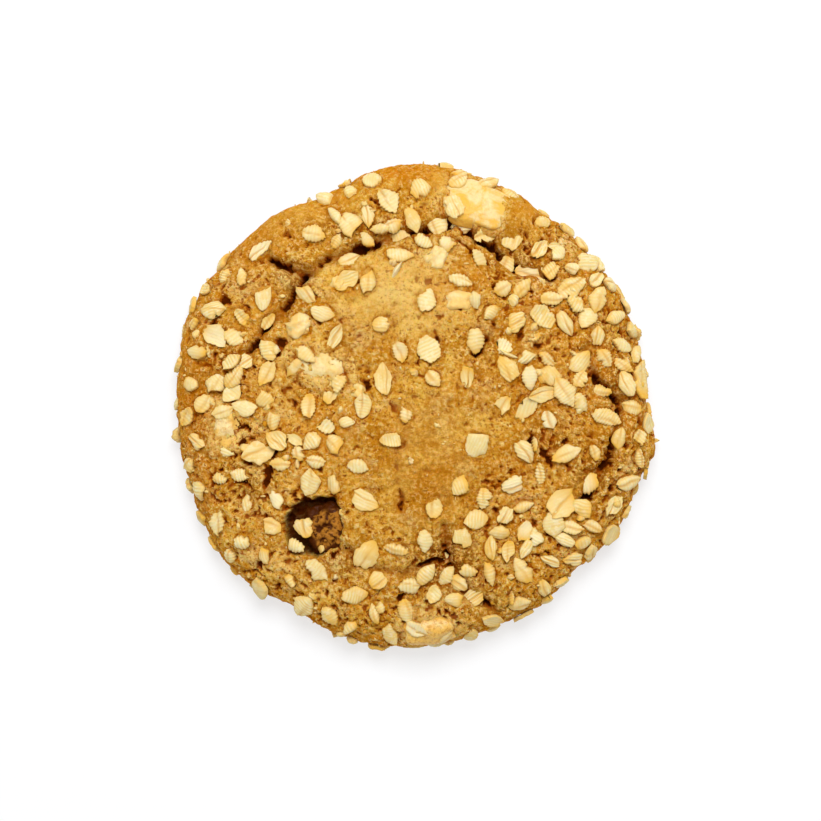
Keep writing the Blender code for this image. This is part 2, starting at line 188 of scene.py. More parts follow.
RIGHT_FLAKES = (
    (32.5, 24.5, 7.0, 4.6, 30), (24.5, 27.5, 6.6, 4.2, -10), (19.5, 7, 7.0, 4.2, -60),
    (31.5, -9.5, 7.0, 4.0, 20), (31, -20, 8.2, 5.8, 45), (47.4, 5.5, 9.0, 5.0, 85),
)

# Flakes that stick to the chocolate: x, y, length, width, turn in degrees, and height above the dough
STUCK_FLAKES = (
    (-21.9, -24.2, 5.8, 4.3, 105, -0.5), (15.5, 45.0, 6.0, 3.4, 20, 1.1), (20.5, 42.5, 5.6, 3.2, -35, 1.0),
    (9.5, 45.6, 5.0, 3.2, 30, 0.9), (-21.5, 10.5, 5.2, 3.4, -40, 0.9), (-14.5, 5.0, 4.8, 3.0, 75, 0.7),
    (-38.5, -1.0, 4.8, 3.2, 20, 0.7), (1.0, -45.0, 5.0, 3.2, -20, 0.9), (7.0, -46.5, 4.6, 3.0, 40, 0.8),
    (8.6, 40.4, 6.2, 4.2, -70, 1.5),
)

# The other flakes follow a rule
FLAKE_SEED = 41
FLAKE_TRIES = 7000
FLAKE_LENGTH = (5.4, 0.8)
FLAKE_SLIMNESS = (0.50, 0.80)
FLAKE_SPACING = 0.84
FLAKE_ROOM = 1.1
FLAKE_CROWDING = 0.46
FLAKE_OVERLAP = 0.72
FLAKE_LIFT = 0.45
FLAKE_THICKNESS = 1.1
FLAKE_STAND = 0.36
FLAKE_TILT = 12.0
SHORTEST_FLAKE = 3.6
SLIVER_SHARE = 0.2
FLAKE_REACH = 0.88
FLAKE_LOWEST = 0.6

# Bare places: x, y, half widths along x and y
BARE_PLACES = (
    (5, -8, 15, 13), (2, -17, 11, 9), (-4, 21, 17, 9), (-34, 37, 8, 6), (-26, 42, 9, 5), (-2, 49, 9, 3),
    (-23, 30, 8, 5), (-12, 10, 7, 6), (-17, -25, 6.4, 6.0), (-26, 0, 4, 3), (4, -41, 5, 2), (26, 14, 3, 3),
)

# Crowded places, where flakes lie on each other: x, y, half widths along x and y
CROWDED_PLACES = (
    (31, 23, 14, 11), (27, 5, 11, 9), (21, -26, 13, 8), (-37, 6, 8, 15), (-23, -9, 9, 7), (-6, 37, 13, 5),
    (44, 4, 5, 14), (-13, 26, 6, 5), (4, -36, 12, 5), (-17, 19, 5, 7), (33, -24, 8, 8),
)

# Fine crumb of the dough: knobs as (size, height), pits as (size, edge, bottom, depth), in millimetres
CRUMB_KNOBS = ((2.7, 0.50), (1.35, 0.42), (0.75, 0.24))
PITS = ((2.4, 0.50, 0.66, 1.1), (1.35, 0.42, 0.56, 0.75), (0.85, 0.30, 0.46, 0.55))
SMOOTH_KNOBS_LEFT = 0.22
SMOOTH_PITS_LEFT = 0.25
PIT_PATCHES = (0.15, 0.07)
PIT_PATCH_SIZE = 8.0
PIT_PATCH_RANGE = (-0.35, 0.25)
PIT_CROWD = 0.05
PIT_WANDER = (0.8, 0.5)

# Seats of the flakes in the dough: offset, width and depth of the ring round each, then the seat itself. The
# ring is a dip that the colour also darkens as a painted shadow line, and the painted soft shade beside each
# flake fades over SEAT_SHADE
SEAT_RING = (0.10, 0.32, 0.25)
SEAT_DEPTH = 0.25
SEAT_WALL = (-0.7, 0.0)
SEAT_SMOOTHNESS = 0.85
SEAT_REACH = 1.6
SEAT_SHADE = 0.9
FINE_RANGE = 1.7

# Ragged cores of the cracks, from where to where they fall and how deep, and the lips beside them
CRACK_SHARE_LEFT = 0.52
CRACK_RAGS = ((1.9, 0.9), (0.9, 0.7))
CRACK_CORE = (0.15, 0.90, 2.3)
CRACK_LIP = (2.2, 0.9, 0.30)
CRACK_GAPS_SIZE = 5.0
CRACK_GAPS_RANGE = (-0.40, 0.15)
FULL_CRACK_DEPTH = 2.4
# Width of the painted shade along each crack, as a share of its half width
CRACK_SHADE_WIDTH = 0.75
CRUMB_HEIGHTS = (0.5, 3.0)

# Places of the crust that are smooth: x, y, half widths along x and y, strength
SMOOTH_PLACES = (
    (-34, 37, 12, 8, 0.8), (-20, 44, 13, 5, 0.85), (-2, 48, 12, 3, 0.8), (-4, 22, 17, 10, 0.75),
    (4, -10, 14, 19, 0.75), (-17, -6, 8, 6, 0.7), (22, 8, 10, 13, 0.5), (-12, -14, 6, 6, 0.5),
    (-47, 8, 4, 16, 0.7), (-46, -20, 4, 10, 0.5), (-26, 40, 12, 6, 0.75), (-31, 20, 6, 5, 0.5),
    (4, 46, 5, 3, 0.9), (23, 41, 5.5, 4.5, 0.9),
)
# Places that are baked browner, and places that stay paler
TOASTED_PLACES = (
    (-36, 36, 9, 8, 0.8), (-22, 44, 12, 5, 0.8), (-2, 48.5, 13, 3, 1.0), (-45, -2, 6, 26, 0.9),
    (5, -14, 12, 13, 0.4), (30, 22, 11, 9, 0.6), (-37, 8, 7, 11, 0.5), (-20, -3, 8, 5, 0.5),
    (34, 4, 16, 26, 0.5), (12, 26, 8, 6, 0.5), (-30, 18, 6, 6, 0.4), (44, -3, 4, 6, 0.7),
    (16, 10, 6, 8, 0.4), (24, 40.5, 4, 5, 0.8),
)
PALE_PLACES = (
    (0, 23, 11, 8, 1.0), (-12, 20, 6, 6, 0.4), (-24, -30, 9, 10, 0.5), (-30, 4, 9, 9, 0.6),
    (6, -2, 8, 6, 0.3), (24, -24, 8, 8, 0.5), (-44, -10, 4, 6, 0.4), (34, 16, 10, 10, 0.3),
)
# Dark places: painted shade, strong along the cracks, and darker crust, faint in a few wide patches
CRACK_SHADE_AND_DARK_PLACES = (
    (6.5, -31.6, 7, 6, 1.0), (37, -14, 5, 6, 0.7), (42, 6, 3, 6, 0.6), (-24, 26, 3, 5, 0.6),
    (-6, 36.5, 15, 2.5, 0.6), (-38, 9, 4, 6, 0.5), (-12, -32, 5, 3, 0.5), (15, 13, 3, 5, 0.5),
    (22, 30, 6, 3, 0.6), (17, -41, 4, 3, 0.6), (28, -6, 5, 5, 0.45), (5, -13, 12, 15, 0.27),
    (-34, -16, 4, 4, 0.4), (40, 14, 4, 4, 0.45), (30, 35, 5, 3, 0.3), (-14, 11, 3, 3, 0.3),
    (-45, 0, 5, 26, 0.25), (46, 10, 4, 22, 0.25), (-34, 33, 9, 8, 0.15), (16, 8, 14, 7, 0.17),
)
PLACE_SOFTNESS = 1.1
FOOT_TOAST_HEIGHTS = (1.0, 7.0)
RIM_TOAST = 0.9
RIM_TOAST_START = 0.1
RIM_SMOOTHNESS = 0.5
RIM_SMOOTH_SHIFTS = (0.17, 0.02)
TOAST_CLOUDS = (8.0, 0.3)
CREAM_UP_TO_X = 19

# Rings of points that the dough's mesh has
RINGS_OF_TOP = 122
RINGS_OF_RIM = 38
RINGS_OF_FOOT = 20
BASE_RINGS = (0.93, 0.80, 0.60, 0.35, 0.12)

# Noise stays between these values nearly everywhere
NOISE_MIDDLE = (0.3, 0.7)
WHITE = (1, 1, 1)
LENGTH = {"precision": 5, "unit": "LENGTH"}

# Ribs and meshes of the flakes; flakes shorter than a bit's length get half the steps
RIB_HEIGHT = (0.02, 0.075)
FLAKE_GRIDS = {"across": (38, 9), "along": (20, 28)}
BIT_LENGTH = 3.1
LEAF_END = 0.99
UNDERSIDE_SCALE = (0.96, 0.96, 1)
FLAKE_CHANCES = {
    "ribs across": 0.62, "broken": 0.5, "notched": 0.4, "cupped": 0.2, "creased": 0.5, "browned": 0.6,
}
FLAKE_RANGES = {
    "blunt end": (0.80, 1.0), "broken end": (0.35, 0.85), "slant": (-0.3, 0.3), "raggedness": (0.03, 0.15),
    "skew": (-0.22, 0.22), "notch": (0.15, 0.55), "notch place": (-0.35, 0.35), "notch width": (0.2, 0.7),
    "noise shift": (0, 90), "slimming": (0.84, 1.0), "bend": (-0.06, 0.06), "rib lean": (-0.45, 0.45),
    "rib period": (0.58, 0.76), "scallops": (0, 0.25), "crown": (0.20, 0.75), "curl": (-0.10, 0.16),
    "twist": (-0.14, 0.14), "lean": (-0.12, 0.12), "crease place": (-0.12, 0.12),
    "crease turn": (-0.08, 0.08), "crease end": (-0.6, 0.6), "crease width": (0.14, 0.32),
    "crease depth": (0.10, 0.28), "browning": (0.3, 1.0),
}
FLAKE_CUP = -0.25
HARDLY_BROWNED = 0.1

# Broken bits and slivers of flakes, in millimetres
BIT_SIZES = ((1.3, 3.0), (0.5, 0.9))
SLIVER_SIZES = ((3.2, 4.8), (0.8, 1.2))
BIT_TILT = 0.8
BITS_ANYWHERE = 0.25

# Loose crumbs and oat specks
CRUMB_SEED = 11
CRUMB_STRETCH = (1.5, 1.0, 0.55)
SPECK_SIZE = 0.9
CRUMB_SPREAD = 0.35
CRUMB_RAGS = (0.65, 1.25)
CRUMBS_OFF_SMOOTH = 0.75
CRUMB_LIFT = 0.25


def bump(distance, width):
    """A smooth hill, one high, that fades over the width."""
    return np.exp(-(distance / width) ** 2)


def blend_step(value, low, high):
    """Rises smoothly from 0 at the low value to 1 at the high one."""
    part = np.clip((value - low) / (high - low), 0, 1)
    return part * part * (3 - 2 * part)


def noise_at(points, size=1.0, shift=(0, 0, 0)):
    """Smooth noise at each point, between -1 and 1."""
    return np.array([noise.noise(place) for place in (points / size + np.array(shift)).tolist()])


def lumps_at(points, layers):
    """Sum of smooth noises, given as (size, height)."""
    return sum(height * noise_at(points, size) for size, height in layers)


def away_from(points, x, y, half_x, half_y):
    """Distance of each point from a place, seen from above: 1 is on the place's ellipse."""
    return np.hypot((points[:, 0] - x) / half_x, (points[:, 1] - y) / half_y)


def spot_away_from(x, y, place):
    """The same for one spot and a place given as (x, y, half width, half width)."""
    return math.hypot((x - place[0]) / place[2], (y - place[1]) / place[3])


def place_mask(points, places):
    """How far each point lies in any of the soft ellipses of the list."""
    mask = np.zeros(len(points))
    for *place, strength in places:
        mask = np.maximum(mask, strength * bump(away_from(points, *place), PLACE_SOFTNESS))
    return mask


def add_hills(height, points, places):
    """Raise the height by a soft hill at each place of the list, or lower it by a pit."""
    for *place, rise in places:
        height += rise * bump(away_from(points, *place), 1)


def outline(angle):
    """Radius of the dough at its widest, at angles in radians from +X."""
    radius = np.full(len(angle), RADIUS)
    for place, height, width in BULGES:
        turn = (np.degrees(angle) - place + 180) % 360 - 180
        radius += height * bump(turn, width)
    return radius


def section(share, radius):
    """Points and outward directions of the cross section, as (distance from the axis, height)."""
    inner = radius - RIM_WIDTH
    rise = SHOULDER_HEIGHT - EDGE_HEIGHT
    top_r = inner * np.sqrt(np.clip(share, 0, TOP_SHARE) / TOP_SHARE)
    rim = np.pi / 2 * np.clip((share - TOP_SHARE) / (EDGE_SHARE - TOP_SHARE), 0, 1)
    foot = np.pi / 2 * np.clip((share - EDGE_SHARE) / (FOOT_SHARE - EDGE_SHARE), 0, 1)
    base_r = (radius - FOOT_WIDTH) * np.sqrt(np.clip(1 - share, 0, 1 - FOOT_SHARE) / (1 - FOOT_SHARE))
    zero = np.zeros(len(share))
    parts = (
        (top_r, SHOULDER_HEIGHT + DOME_RISE * (1 - (top_r / inner) ** 2),
         2 * DOME_RISE * top_r / inner ** 2, zero + 1),
        (inner + RIM_WIDTH * np.sin(rim), EDGE_HEIGHT + rise * np.cos(rim),
         np.sin(rim) * rise, np.cos(rim) * RIM_WIDTH),
        (radius - FOOT_WIDTH * (1 - np.cos(foot)), EDGE_HEIGHT * (1 - np.sin(foot)),
         np.cos(foot) * EDGE_HEIGHT, -np.sin(foot) * FOOT_WIDTH),
        (base_r, zero, zero, zero - 1),
    )
    zone = (share >= TOP_SHARE).astype(int) + (share >= EDGE_SHARE) + (share >= FOOT_SHARE)
    r, z, out, up = (np.choose(zone, [part[index] for part in parts]) for index in range(4))
    size = np.hypot(out, up)
    return r, z, out / size, up / size


def share_at(x, y):
    """Share of the surface inside a place of the top or of the rim's upper half, seen from above."""
    inner = outline(np.array([math.atan2(y, x)]))[0] - RIM_WIDTH
    r = math.hypot(x, y)
    if r < inner:
        return TOP_SHARE * (r / inner) ** 2
    turn = math.asin(min((r - inner) / RIM_WIDTH, 1))
    return TOP_SHARE + (EDGE_SHARE - TOP_SHARE) * turn / (math.pi / 2)


def distance_to_path(places, path):
    """Shortest distance from each place to a line through the path's points."""
    best = np.full(len(places), np.inf)
    for start, end in zip(path, path[1:]):
        start = np.array(start, float)
        run = np.array(end, float) - start
        along = np.clip((places - start) @ run / (run @ run), 0, 1)
        best = np.minimum(best, np.linalg.norm(places - start - along[:, None] * run, axis=1))
    return best


def crack_distances(points):
    """Distance from each point to each crack, on a line that wanders a little."""
    flat = np.column_stack((points[:, :2], np.zeros(len(points))))
    wander = (noise_at(flat, CRACK_WANDER_SIZE), noise_at(flat, CRACK_WANDER_SIZE, SECOND_FIELD))
    shifted = points[:, :2] + CRACK_WANDER * np.column_stack(wander)
    return [distance_to_path(shifted, path) for _, _, path in CRACKS]


def relief(points, upward, distances):
    """Height of the dough's crags above the plain form."""
    height = np.zeros(len(points))
    for (width, depth, _), distance in zip(CRACKS, distances):
        height -= depth * bump(distance, width)
    add_hills(height, points, SWELLINGS)
    height *= np.maximum(upward, 0)
    fade = np.clip(points[:, 2] / LUMP_FADE_HEIGHT, 0, 1)
    for size, rise in LUMPS:
        height += fade * rise * noise_at(points, size)
    return height


def plain_form(angle, share):
    """Points of the plain form without its crags, and the outward directions there."""
    r, z, out, up = section(share, outline(angle))
    points = np.column_stack((r * np.cos(angle), r * np.sin(angle), z))
    return points, np.column_stack((out * np.cos(angle), out * np.sin(angle), up))


def skin_at(angle, share):
    """One point of the dough's surface in millimetres, and the plain form's outward direction there."""
    points, normals = plain_form(np.array([angle]), np.array([share]))
    height = relief(points, normals[:, 2], crack_distances(points))
    return Vector(points[0] + normals[0] * height[0]), Vector(normals[0])


def crack_shallowing(points, upward, distances):
    """How much shallower the wide cracks of the solid are made, before their ragged cores are cut."""
    wide = sum(depth * bump(distance, width) for (width, depth, _), distance in zip(CRACKS, distances))
    return (1 - CRACK_SHARE_LEFT) * wide * np.maximum(upward, 0)


def skin_seen_at(x, y):
    """One point of the dough's surface and the outward direction there, for a place seen from above."""
    return skin_at(math.atan2(y, x), share_at(x, y))


def standing_frame(point, normal, turn, tilt=(0, 0)):
    """Matrix with its Z along the normal, turned about it, and then tilted about its own X and Y."""
    across = Vector((-math.sin(turn), math.cos(turn), 0))
    along = across.cross(normal).normalized()
    across = normal.cross(along)
    result = Matrix((along, across, normal)).transposed().to_4x4()
    result.translation = point
    return result @ Matrix.Rotation(tilt[0], 4, "X") @ Matrix.Rotation(tilt[1], 4, "Y")


def carried(points, placing):
    """Points moved by a matrix."""
    matrix = np.array(placing)
    return points @ matrix[:3, :3].T + matrix[:3, 3]


def new_piece(name, points, faces, masks, material, slot, nodes=()):
    """A smooth object from points in millimetres, with its masks, riding on the cookie's body."""
    mesh = bpy.data.meshes.new(name)
    mesh.from_pydata((points * MM).tolist(), [], faces)
    for mask, values in masks.items():
        mesh.attributes.new(mask, "FLOAT", "POINT").data.foreach_set("value", np.asarray(values, np.float32))
    mesh.shade_smooth()
    mesh.materials.append(material)
    piece = bpy.data.objects.new(name, mesh)
    bpy.context.scene.collection.objects.link(piece)
    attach(piece, "root")
    if nodes:
        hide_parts(*nodes)


class MaterialMaker:
    """Shorthand for the nodes of one material."""

    def __init__(self, name, colour, **sockets):
        self.colour = colour
        self.material = bpy.data.materials.new(name)
        self.material.use_nodes = True
        self.nodes = self.material.node_tree.nodes
        self.links = self.material.node_tree.links
        self.shader = self.nodes["Principled BSDF"]
        for socket, value in sockets.items():
            self.shader.inputs[socket.replace("_", " ").title().replace("Ior", "IOR")].default_value = value

    def link(self, value, socket):
        """Put a number, a colour, a mask of the mesh by its name, or another node's output on a socket."""
        if isinstance(value, str):
            node = self.nodes.new("ShaderNodeAttribute")
            node.attribute_name = value
            value = node.outputs["Fac"]
        if isinstance(value, bpy.types.NodeSocket):
            self.links.new(value, socket)
        elif hasattr(value, "__len__"):
            socket.default_value = (*value[:3], 1)
        else:
            socket.default_value = value

    def noise(self, size, detail=3, roughness=0.6, distortion=0):
        """Noise with features of a size in millimetres, in the object's own space."""
        place = self.nodes.new("ShaderNodeTexCoord")
        node = self.nodes.new("ShaderNodeTexNoise")
        node.inputs["Scale"].default_value = 1 / (size * MM)
        node.inputs["Detail"].default_value = detail
        node.inputs["Roughness"].default_value = roughness
        node.inputs["Distortion"].default_value = distortion
        self.links.new(place.outputs["Object"], node.inputs["Vector"])
        return node.outputs["Fac"]

    def ramp(self, value, low, high, start=0.0, end=1.0):
        """Map a value from low..high to start..end, smoothly."""
        node = self.nodes.new("ShaderNodeMapRange")
        node.interpolation_type = "SMOOTHSTEP"
        for socket, number in (("From Min", low), ("From Max", high), ("To Min", start), ("To Max", end)):
            node.inputs[socket].default_value = number
        self.link(value, node.inputs["Value"])
        return node.outputs["Result"]

    def math(self, operation, first, second):
        """One sum of two values, held between 0 and 1."""
        node = self.nodes.new("ShaderNodeMath")
        node.operation = operation
        node.use_clamp = True
        self.link(first, node.inputs[0])
        self.link(second, node.inputs[1])
        return node.outputs[0]

    def times(self, first, second):
        """Two values multiplied."""
        return self.math("MULTIPLY", first, second)

    def most(self, *values):
        """The largest of the values."""
        return functools.reduce(functools.partial(self.math, "MAXIMUM"), values)

    def coat(self, colour, amount, share=None):
        """Lay a colour over what is there, by an amount and perhaps a share of it."""
        node = self.nodes.new("ShaderNodeMix")
        node.data_type = "RGBA"
        self.link(amount if share is None else self.times(amount, share), node.inputs["Factor"])
        self.link(self.colour, node.inputs["A"])
        self.link(colour, node.inputs["B"])
        self.colour = node.outputs["Result"]

    def bumps(self, *layers):
        """Low relief from layers of (height, strength, depth in millimetres)."""
        normal = None
        for height, strength, depth in layers:
            node = self.nodes.new("ShaderNodeBump")
            node.inputs["Strength"].default_value = strength
            node.inputs["Distance"].default_value = depth * MM
            self.link(height, node.inputs["Height"])
            if normal:
                self.links.new(normal, node.inputs["Normal"])
            normal = node.outputs["Normal"]
        self.links.new(normal, self.shader.inputs["Normal"])

    def soften(self, weight, radius, depth):
        """Let light scatter under the surface, red the farthest, to a depth in millimetres."""
        self.shader.inputs["Subsurface Weight"].default_value = weight
        self.shader.inputs["Subsurface Radius"].default_value = radius
        self.shader.inputs["Subsurface Scale"].default_value = depth * MM

    def finish(self, clouds, smoothest, roughest):
        """Put the colour on the shader, and a roughness that changes with the clouds of a noise."""
        self.link(self.colour, self.shader.inputs["Base Color"])
        roughness = self.ramp(clouds, *NOISE_MIDDLE, smoothest, roughest)
        self.link(roughness, self.shader.inputs["Roughness"])
        return self.material


def colour_prop(name, description, value):
    """A colour that a user can change."""
    return bpy.props.FloatVectorProperty(
        name=name, description=description, subtype="COLOR", size=3, min=0, max=1, default=value)


def number_prop(name, description, value, low, high, **more):
    """A number that a user can change."""
    return bpy.props.FloatProperty(
        name=name, description=description, default=value, min=low, max=high, **more)


def count_prop(name, description, value, low, high):
    """A number of things that a user can change."""
    return bpy.props.IntProperty(name=name, description=description, default=value, min=low, max=high)


class OatCookieDough(bpy.types.PropertyGroup):
    """Colours of the baked dough."""

    golden: colour_prop("Golden", "Crust where it is baked golden", (0.74, 0.41, 0.055))
    brown: colour_prop("Brown", "Crust where it is baked brown", (0.55, 0.24, 0.013))
    toasted: colour_prop("Toasted", "Crust of the rim and the base, baked most", (0.60, 0.195, 0.003))
    soft: colour_prop("Soft", "Crust of the dome, baked least", (0.82, 0.55, 0.155))
    # Crumb and gap: the crust's own pale and brown mottling, and also painted highlight on raised grains and
    # painted shade in their hollows; the gap's brown also paints the shadow round the flakes
    crumb: colour_prop("Crumb", "Pale crumb on top of the grains", (0.80, 0.58, 0.21))
    gap: colour_prop("Gap", "Brown gaps between the grains", (0.45, 0.145, 0.001))
    # Painted shade along the cracks, and darker crust in a few wide patches
    crack_shade_and_dark_crust: colour_prop("Crack shade and dark crust", "Reddish dark crust along the cracks", (0.15, 0.036, 0.003))
    # Pit: painted shade at the bottoms of the pits, in the cracks and in lines round the flakes, and dark
    # pore spots
    pit_shade: colour_prop("Pit", "Brown bottom of the pores", (0.27, 0.045, 0.0002))
    # Deep: painted shade at the bottom of the cracks and pits and in the hollow round the milk chocolate
    deep: colour_prop("Deep", "Bottom of the cracks and hollows", (0.07, 0.010, 0.0003))
    cream: colour_prop("Cream", "Crust that melted white chocolate soaked", (0.85, 0.56, 0.16))
    relief: number_prop("Crumb relief", "Strength of the crumb's relief", 1.0, 0, 2, subtype="FACTOR")


class OatCookieFlakes(bpy.types.PropertyGroup):
    """Colours and sizes of the oat flakes."""

    # Crest and groove: the oats' own cream and yellow, with painted highlight on the ribs' crests and
    # painted shade between them; the groove's yellow also paints shade at the edges
    crest: colour_prop("Crest", "Top of a flake's ribs", (0.79, 0.68, 0.36))
    groove: colour_prop("Groove", "Between a flake's ribs", (0.76, 0.50, 0.13))
    # Crease: the oat's own brown line, with painted shade in its groove
    crease: colour_prop("Crease", "The brown crease down the middle", (0.60, 0.28, 0.035))
    toasted: colour_prop("Toasted", "Flakes and tips that the oven browned", (0.76, 0.44, 0.07))
    floury: colour_prop("Floury", "Flakes that stayed white", (0.84, 0.74, 0.46))
    fragments: count_prop("Fragments", "Number of broken bits", 75, 0, 300)
    thickness: number_prop(
        "Thickness", "Thickness of a flake's edge", 0.75 * MM, 0.2 * MM, 1.1 * MM, **LENGTH)


class OatCookieChocolate(bpy.types.PropertyGroup):
    """Colours of the chocolate pieces."""

    white: colour_prop("White chocolate", "Pale patches of the white pieces", (0.82, 0.68, 0.35))
    yellow: colour_prop("Yellow", "White chocolate that melted and turned yellow", (0.83, 0.46, 0.045))
    baked: colour_prop("Baked white", "White chocolate that the oven browned", (0.78, 0.42, 0.06))
    speckle: colour_prop("Speckle", "Brown specks of the melted pieces", (0.50, 0.19, 0.01))
    milk: colour_prop("Milk chocolate", "Surface of the milk chocolate", (0.40, 0.155, 0.016))
    # Dark: darker patches of the milk chocolate, and painted shade in its cracks and round its edge
    dark: colour_prop("Dark patches and shade", "Cracks of the milk chocolate", (0.06, 0.012, 0.0004))


class OatCookieCrumbs(bpy.types.PropertyGroup):
    """Number and size of the crumbs."""

    crumbs: count_prop("Crumbs", "Number of dough crumbs", 600, 0, 2000)
    specks: count_prop("Specks", "Number of pale oat specks", 110, 0, 500)
    size: number_prop("Crumb size", "Middle radius of a crumb", 0.22 * MM, 0.1 * MM, 0.8 * MM, **LENGTH)


class OatCookieStage(bpy.types.PropertyGroup):
    """Floor, light and camera."""

    paper: colour_prop("Paper", "The white floor", (0.31, 0.315, 0.325))
    paper_glow: number_prop("Paper glow", "Light that the backlit paper gives", 0.65, 0, 2)
    fill: number_prop("Fill light", "Light from all sides", 0.52, 0, 3)
    key: number_prop("Key light", "Power of the large light", 5.9, 0, 100, unit="POWER")
    lens: number_prop("Lens", "Focal length in millimetres", 100, 20, 300)


def ring_faces(inner, outer, inner_start, outer_start):
    """Triangles between a ring of the top and the next, larger one."""
    faces = []
    inner_step, outer_step = inner // 6, outer // 6
    for side in range(6):
        for step in range(outer_step):
            near = inner_start + (side * inner_step + step) % inner
            far = outer_start + side * outer_step + step
            next_far = outer_start + (side * outer_step + step + 1) % outer
            faces.append((near, far, next_far))
            if step < inner_step:
                faces.append((near, next_far, inner_start + (side * inner_step + step + 1) % inner))
    return faces


def dough_rings():
    """Angles and shares of the surface of the dough's points, and its faces."""
    full = 6 * RINGS_OF_TOP
    rings = [(TOP_SHARE * (ring / RINGS_OF_TOP) ** 2, 6 * ring) for ring in range(1, RINGS_OF_TOP + 1)]
    rings += [(share, full) for share in np.linspace(TOP_SHARE, EDGE_SHARE, RINGS_OF_RIM + 1)[1:]]
    rings += [(share, full) for share in np.linspace(EDGE_SHARE, FOOT_SHARE, RINGS_OF_FOOT + 1)[1:]]
    rings += [(1 - (1 - FOOT_SHARE) * part ** 2, full) for part in BASE_RINGS]
    angles, shares, faces = [np.zeros(1)], [np.zeros(1)], []
    start = 1
    for index, (share, count) in enumerate(rings):
        angles.append(np.arange(count) * 2 * np.pi / count)
        shares.append(np.full(count, share))
        if index == 0:
            faces += [(0, 1 + step, 1 + (step + 1) % count) for step in range(count)]
        elif count > rings[index - 1][1]:
            faces += ring_faces(rings[index - 1][1], count, start - rings[index - 1][1], start)
        else:
            before = start - count
            faces += [(before + step, start + step, start + (step + 1) % count, before + (step + 1) % count)
                      for step in range(count)]
        start += count
    last = start - full
    faces += [(last + step, start, last + (step + 1) % full) for step in range(full)]
    angles.append(np.zeros(1))
    shares.append(np.ones(1))
    return np.concatenate(angles), np.concatenate(shares), faces


def crumb_relief(points, smooth, distances):
    """Fine relief of the crumb: knobs, ragged pits and the sharp cores of the cracks."""
    rough = 1 - smooth
    fine = np.zeros(len(points))
    for size, height in CRUMB_KNOBS:
        fine += height * (SMOOTH_KNOBS_LEFT + (1 - SMOOTH_KNOBS_LEFT) * rough) * noise_at(points, size)
    patches = blend_step(noise_at(points, PIT_PATCH_SIZE, SECOND_FIELD), *PIT_PATCH_RANGE)
    size, reach = PIT_WANDER
    warped = points + reach * np.column_stack([noise_at(points, size, (0, 0, turn)) for turn in (0, 31, 62)])
    crowd = PIT_CROWD * place_mask(points, [(*place, 1) for place in CROWDED_PLACES])
    for size, edge, bottom, depth in PITS:
        hollow = crowd - noise_at(warped, size, SECOND_FIELD)
        hollow += PIT_PATCHES[0] * patches * rough - PIT_PATCHES[1]
        shallower = SMOOTH_PITS_LEFT + (1 - SMOOTH_PITS_LEFT) * rough
        fine -= depth * blend_step(hollow, edge, bottom) * shallower
    gaps = blend_step(noise_at(points, CRACK_GAPS_SIZE), *CRACK_GAPS_RANGE)
    rags = lumps_at(points, CRACK_RAGS)
    start, end, core_depth = CRACK_CORE
    for (_, depth, _), distance in zip(CRACKS, distances):
        strength = min(depth / FULL_CRACK_DEPTH, 1)
        fine -= core_depth * strength * gaps * (1 - blend_step(distance + rags, start, end))
        fine += CRACK_LIP[2] * strength * bump(distance - CRACK_LIP[0], CRACK_LIP[1])
    return fine


def smooth_crust(points, shares):
    """How smooth the crust is at each point: the rim's lower side is smooth too."""
    start, end = RIM_SMOOTH_SHIFTS
    rim = RIM_SMOOTHNESS * blend_step(shares, TOP_SHARE + start, EDGE_SHARE + end)
    return np.clip(np.maximum(place_mask(points, SMOOTH_PLACES), rim), 0, 1)


def block_reach(points, place, radii, turn=0):
    """How far each point lies from a rounded block's middle seen from above: 1 is at its edge."""
    dx, dy = points[:, 0] - place[0], points[:, 1] - place[1]
    along = dx * math.cos(turn) + dy * math.sin(turn)
    across = dy * math.cos(turn) - dx * math.sin(turn)
    power = PIECE_BOXINESS
    return (np.abs(along / radii[0]) ** power + np.abs(across / radii[1]) ** power) ** (1 / power)


def milk_hollow(points):
    """Depth of the hollow round the milk chocolate, with steep uneven walls."""
    away = block_reach(points, HOLLOW_PLACE, HOLLOW_RADII, math.radians(MILK_PIECE[4]))
    away += lumps_at(points, HOLLOW_RAGS)
    return HOLLOW_DEPTH * (1 - blend_step(away, *HOLLOW_WALL))


def distance_to_white(points):
    """Rough distance from each point to the nearest piece of white chocolate, seen from above."""
    nearest = np.full(len(points), np.inf)
    for _, x, y, half_sizes, turn, _ in WHITE_PIECES:
        reach = block_reach(points, (x, y), half_sizes, math.radians(turn))
        nearest = np.minimum(nearest, (reach - 1) * min(half_sizes[:2]))
    return nearest + lumps_at(points, CREAM_RAGS)


def flake_seats(points, flakes):
    """Masks of the dough: rings round the flakes, seats under them and soft shade beside them. The rings are
    a dip that the colour also darkens as a painted shadow line; the soft shade beside them is painted shade.
    """
    masks = [np.zeros(len(points)) for _ in range(3)]
    offset, width_of_ring, _ = SEAT_RING
    for length, width, placing in flakes:
        near = np.abs(points - np.array(placing.translation)).max(axis=1) < length + SEAT_SHADE
        local = carried(points[near], placing.inverted())
        station = local[:, 0] / (length / 2)
        beside = np.abs(local[:, 1]) - flake_half_width(np.clip(station, -1, 1)) * width / 2
        beyond = (np.abs(station) - 1) * length / 2
        outside = np.maximum(beside, beyond)
        close = np.abs(local[:, 2]) < SEAT_REACH
        marks = (bump(outside - offset, width_of_ring), 1 - blend_step(outside, *SEAT_WALL),
                 bump(np.maximum(outside, 0), SEAT_SHADE))
        for mask, mark in zip(masks, marks):
            mask[near] = np.maximum(mask[near], close * mark)
    return masks


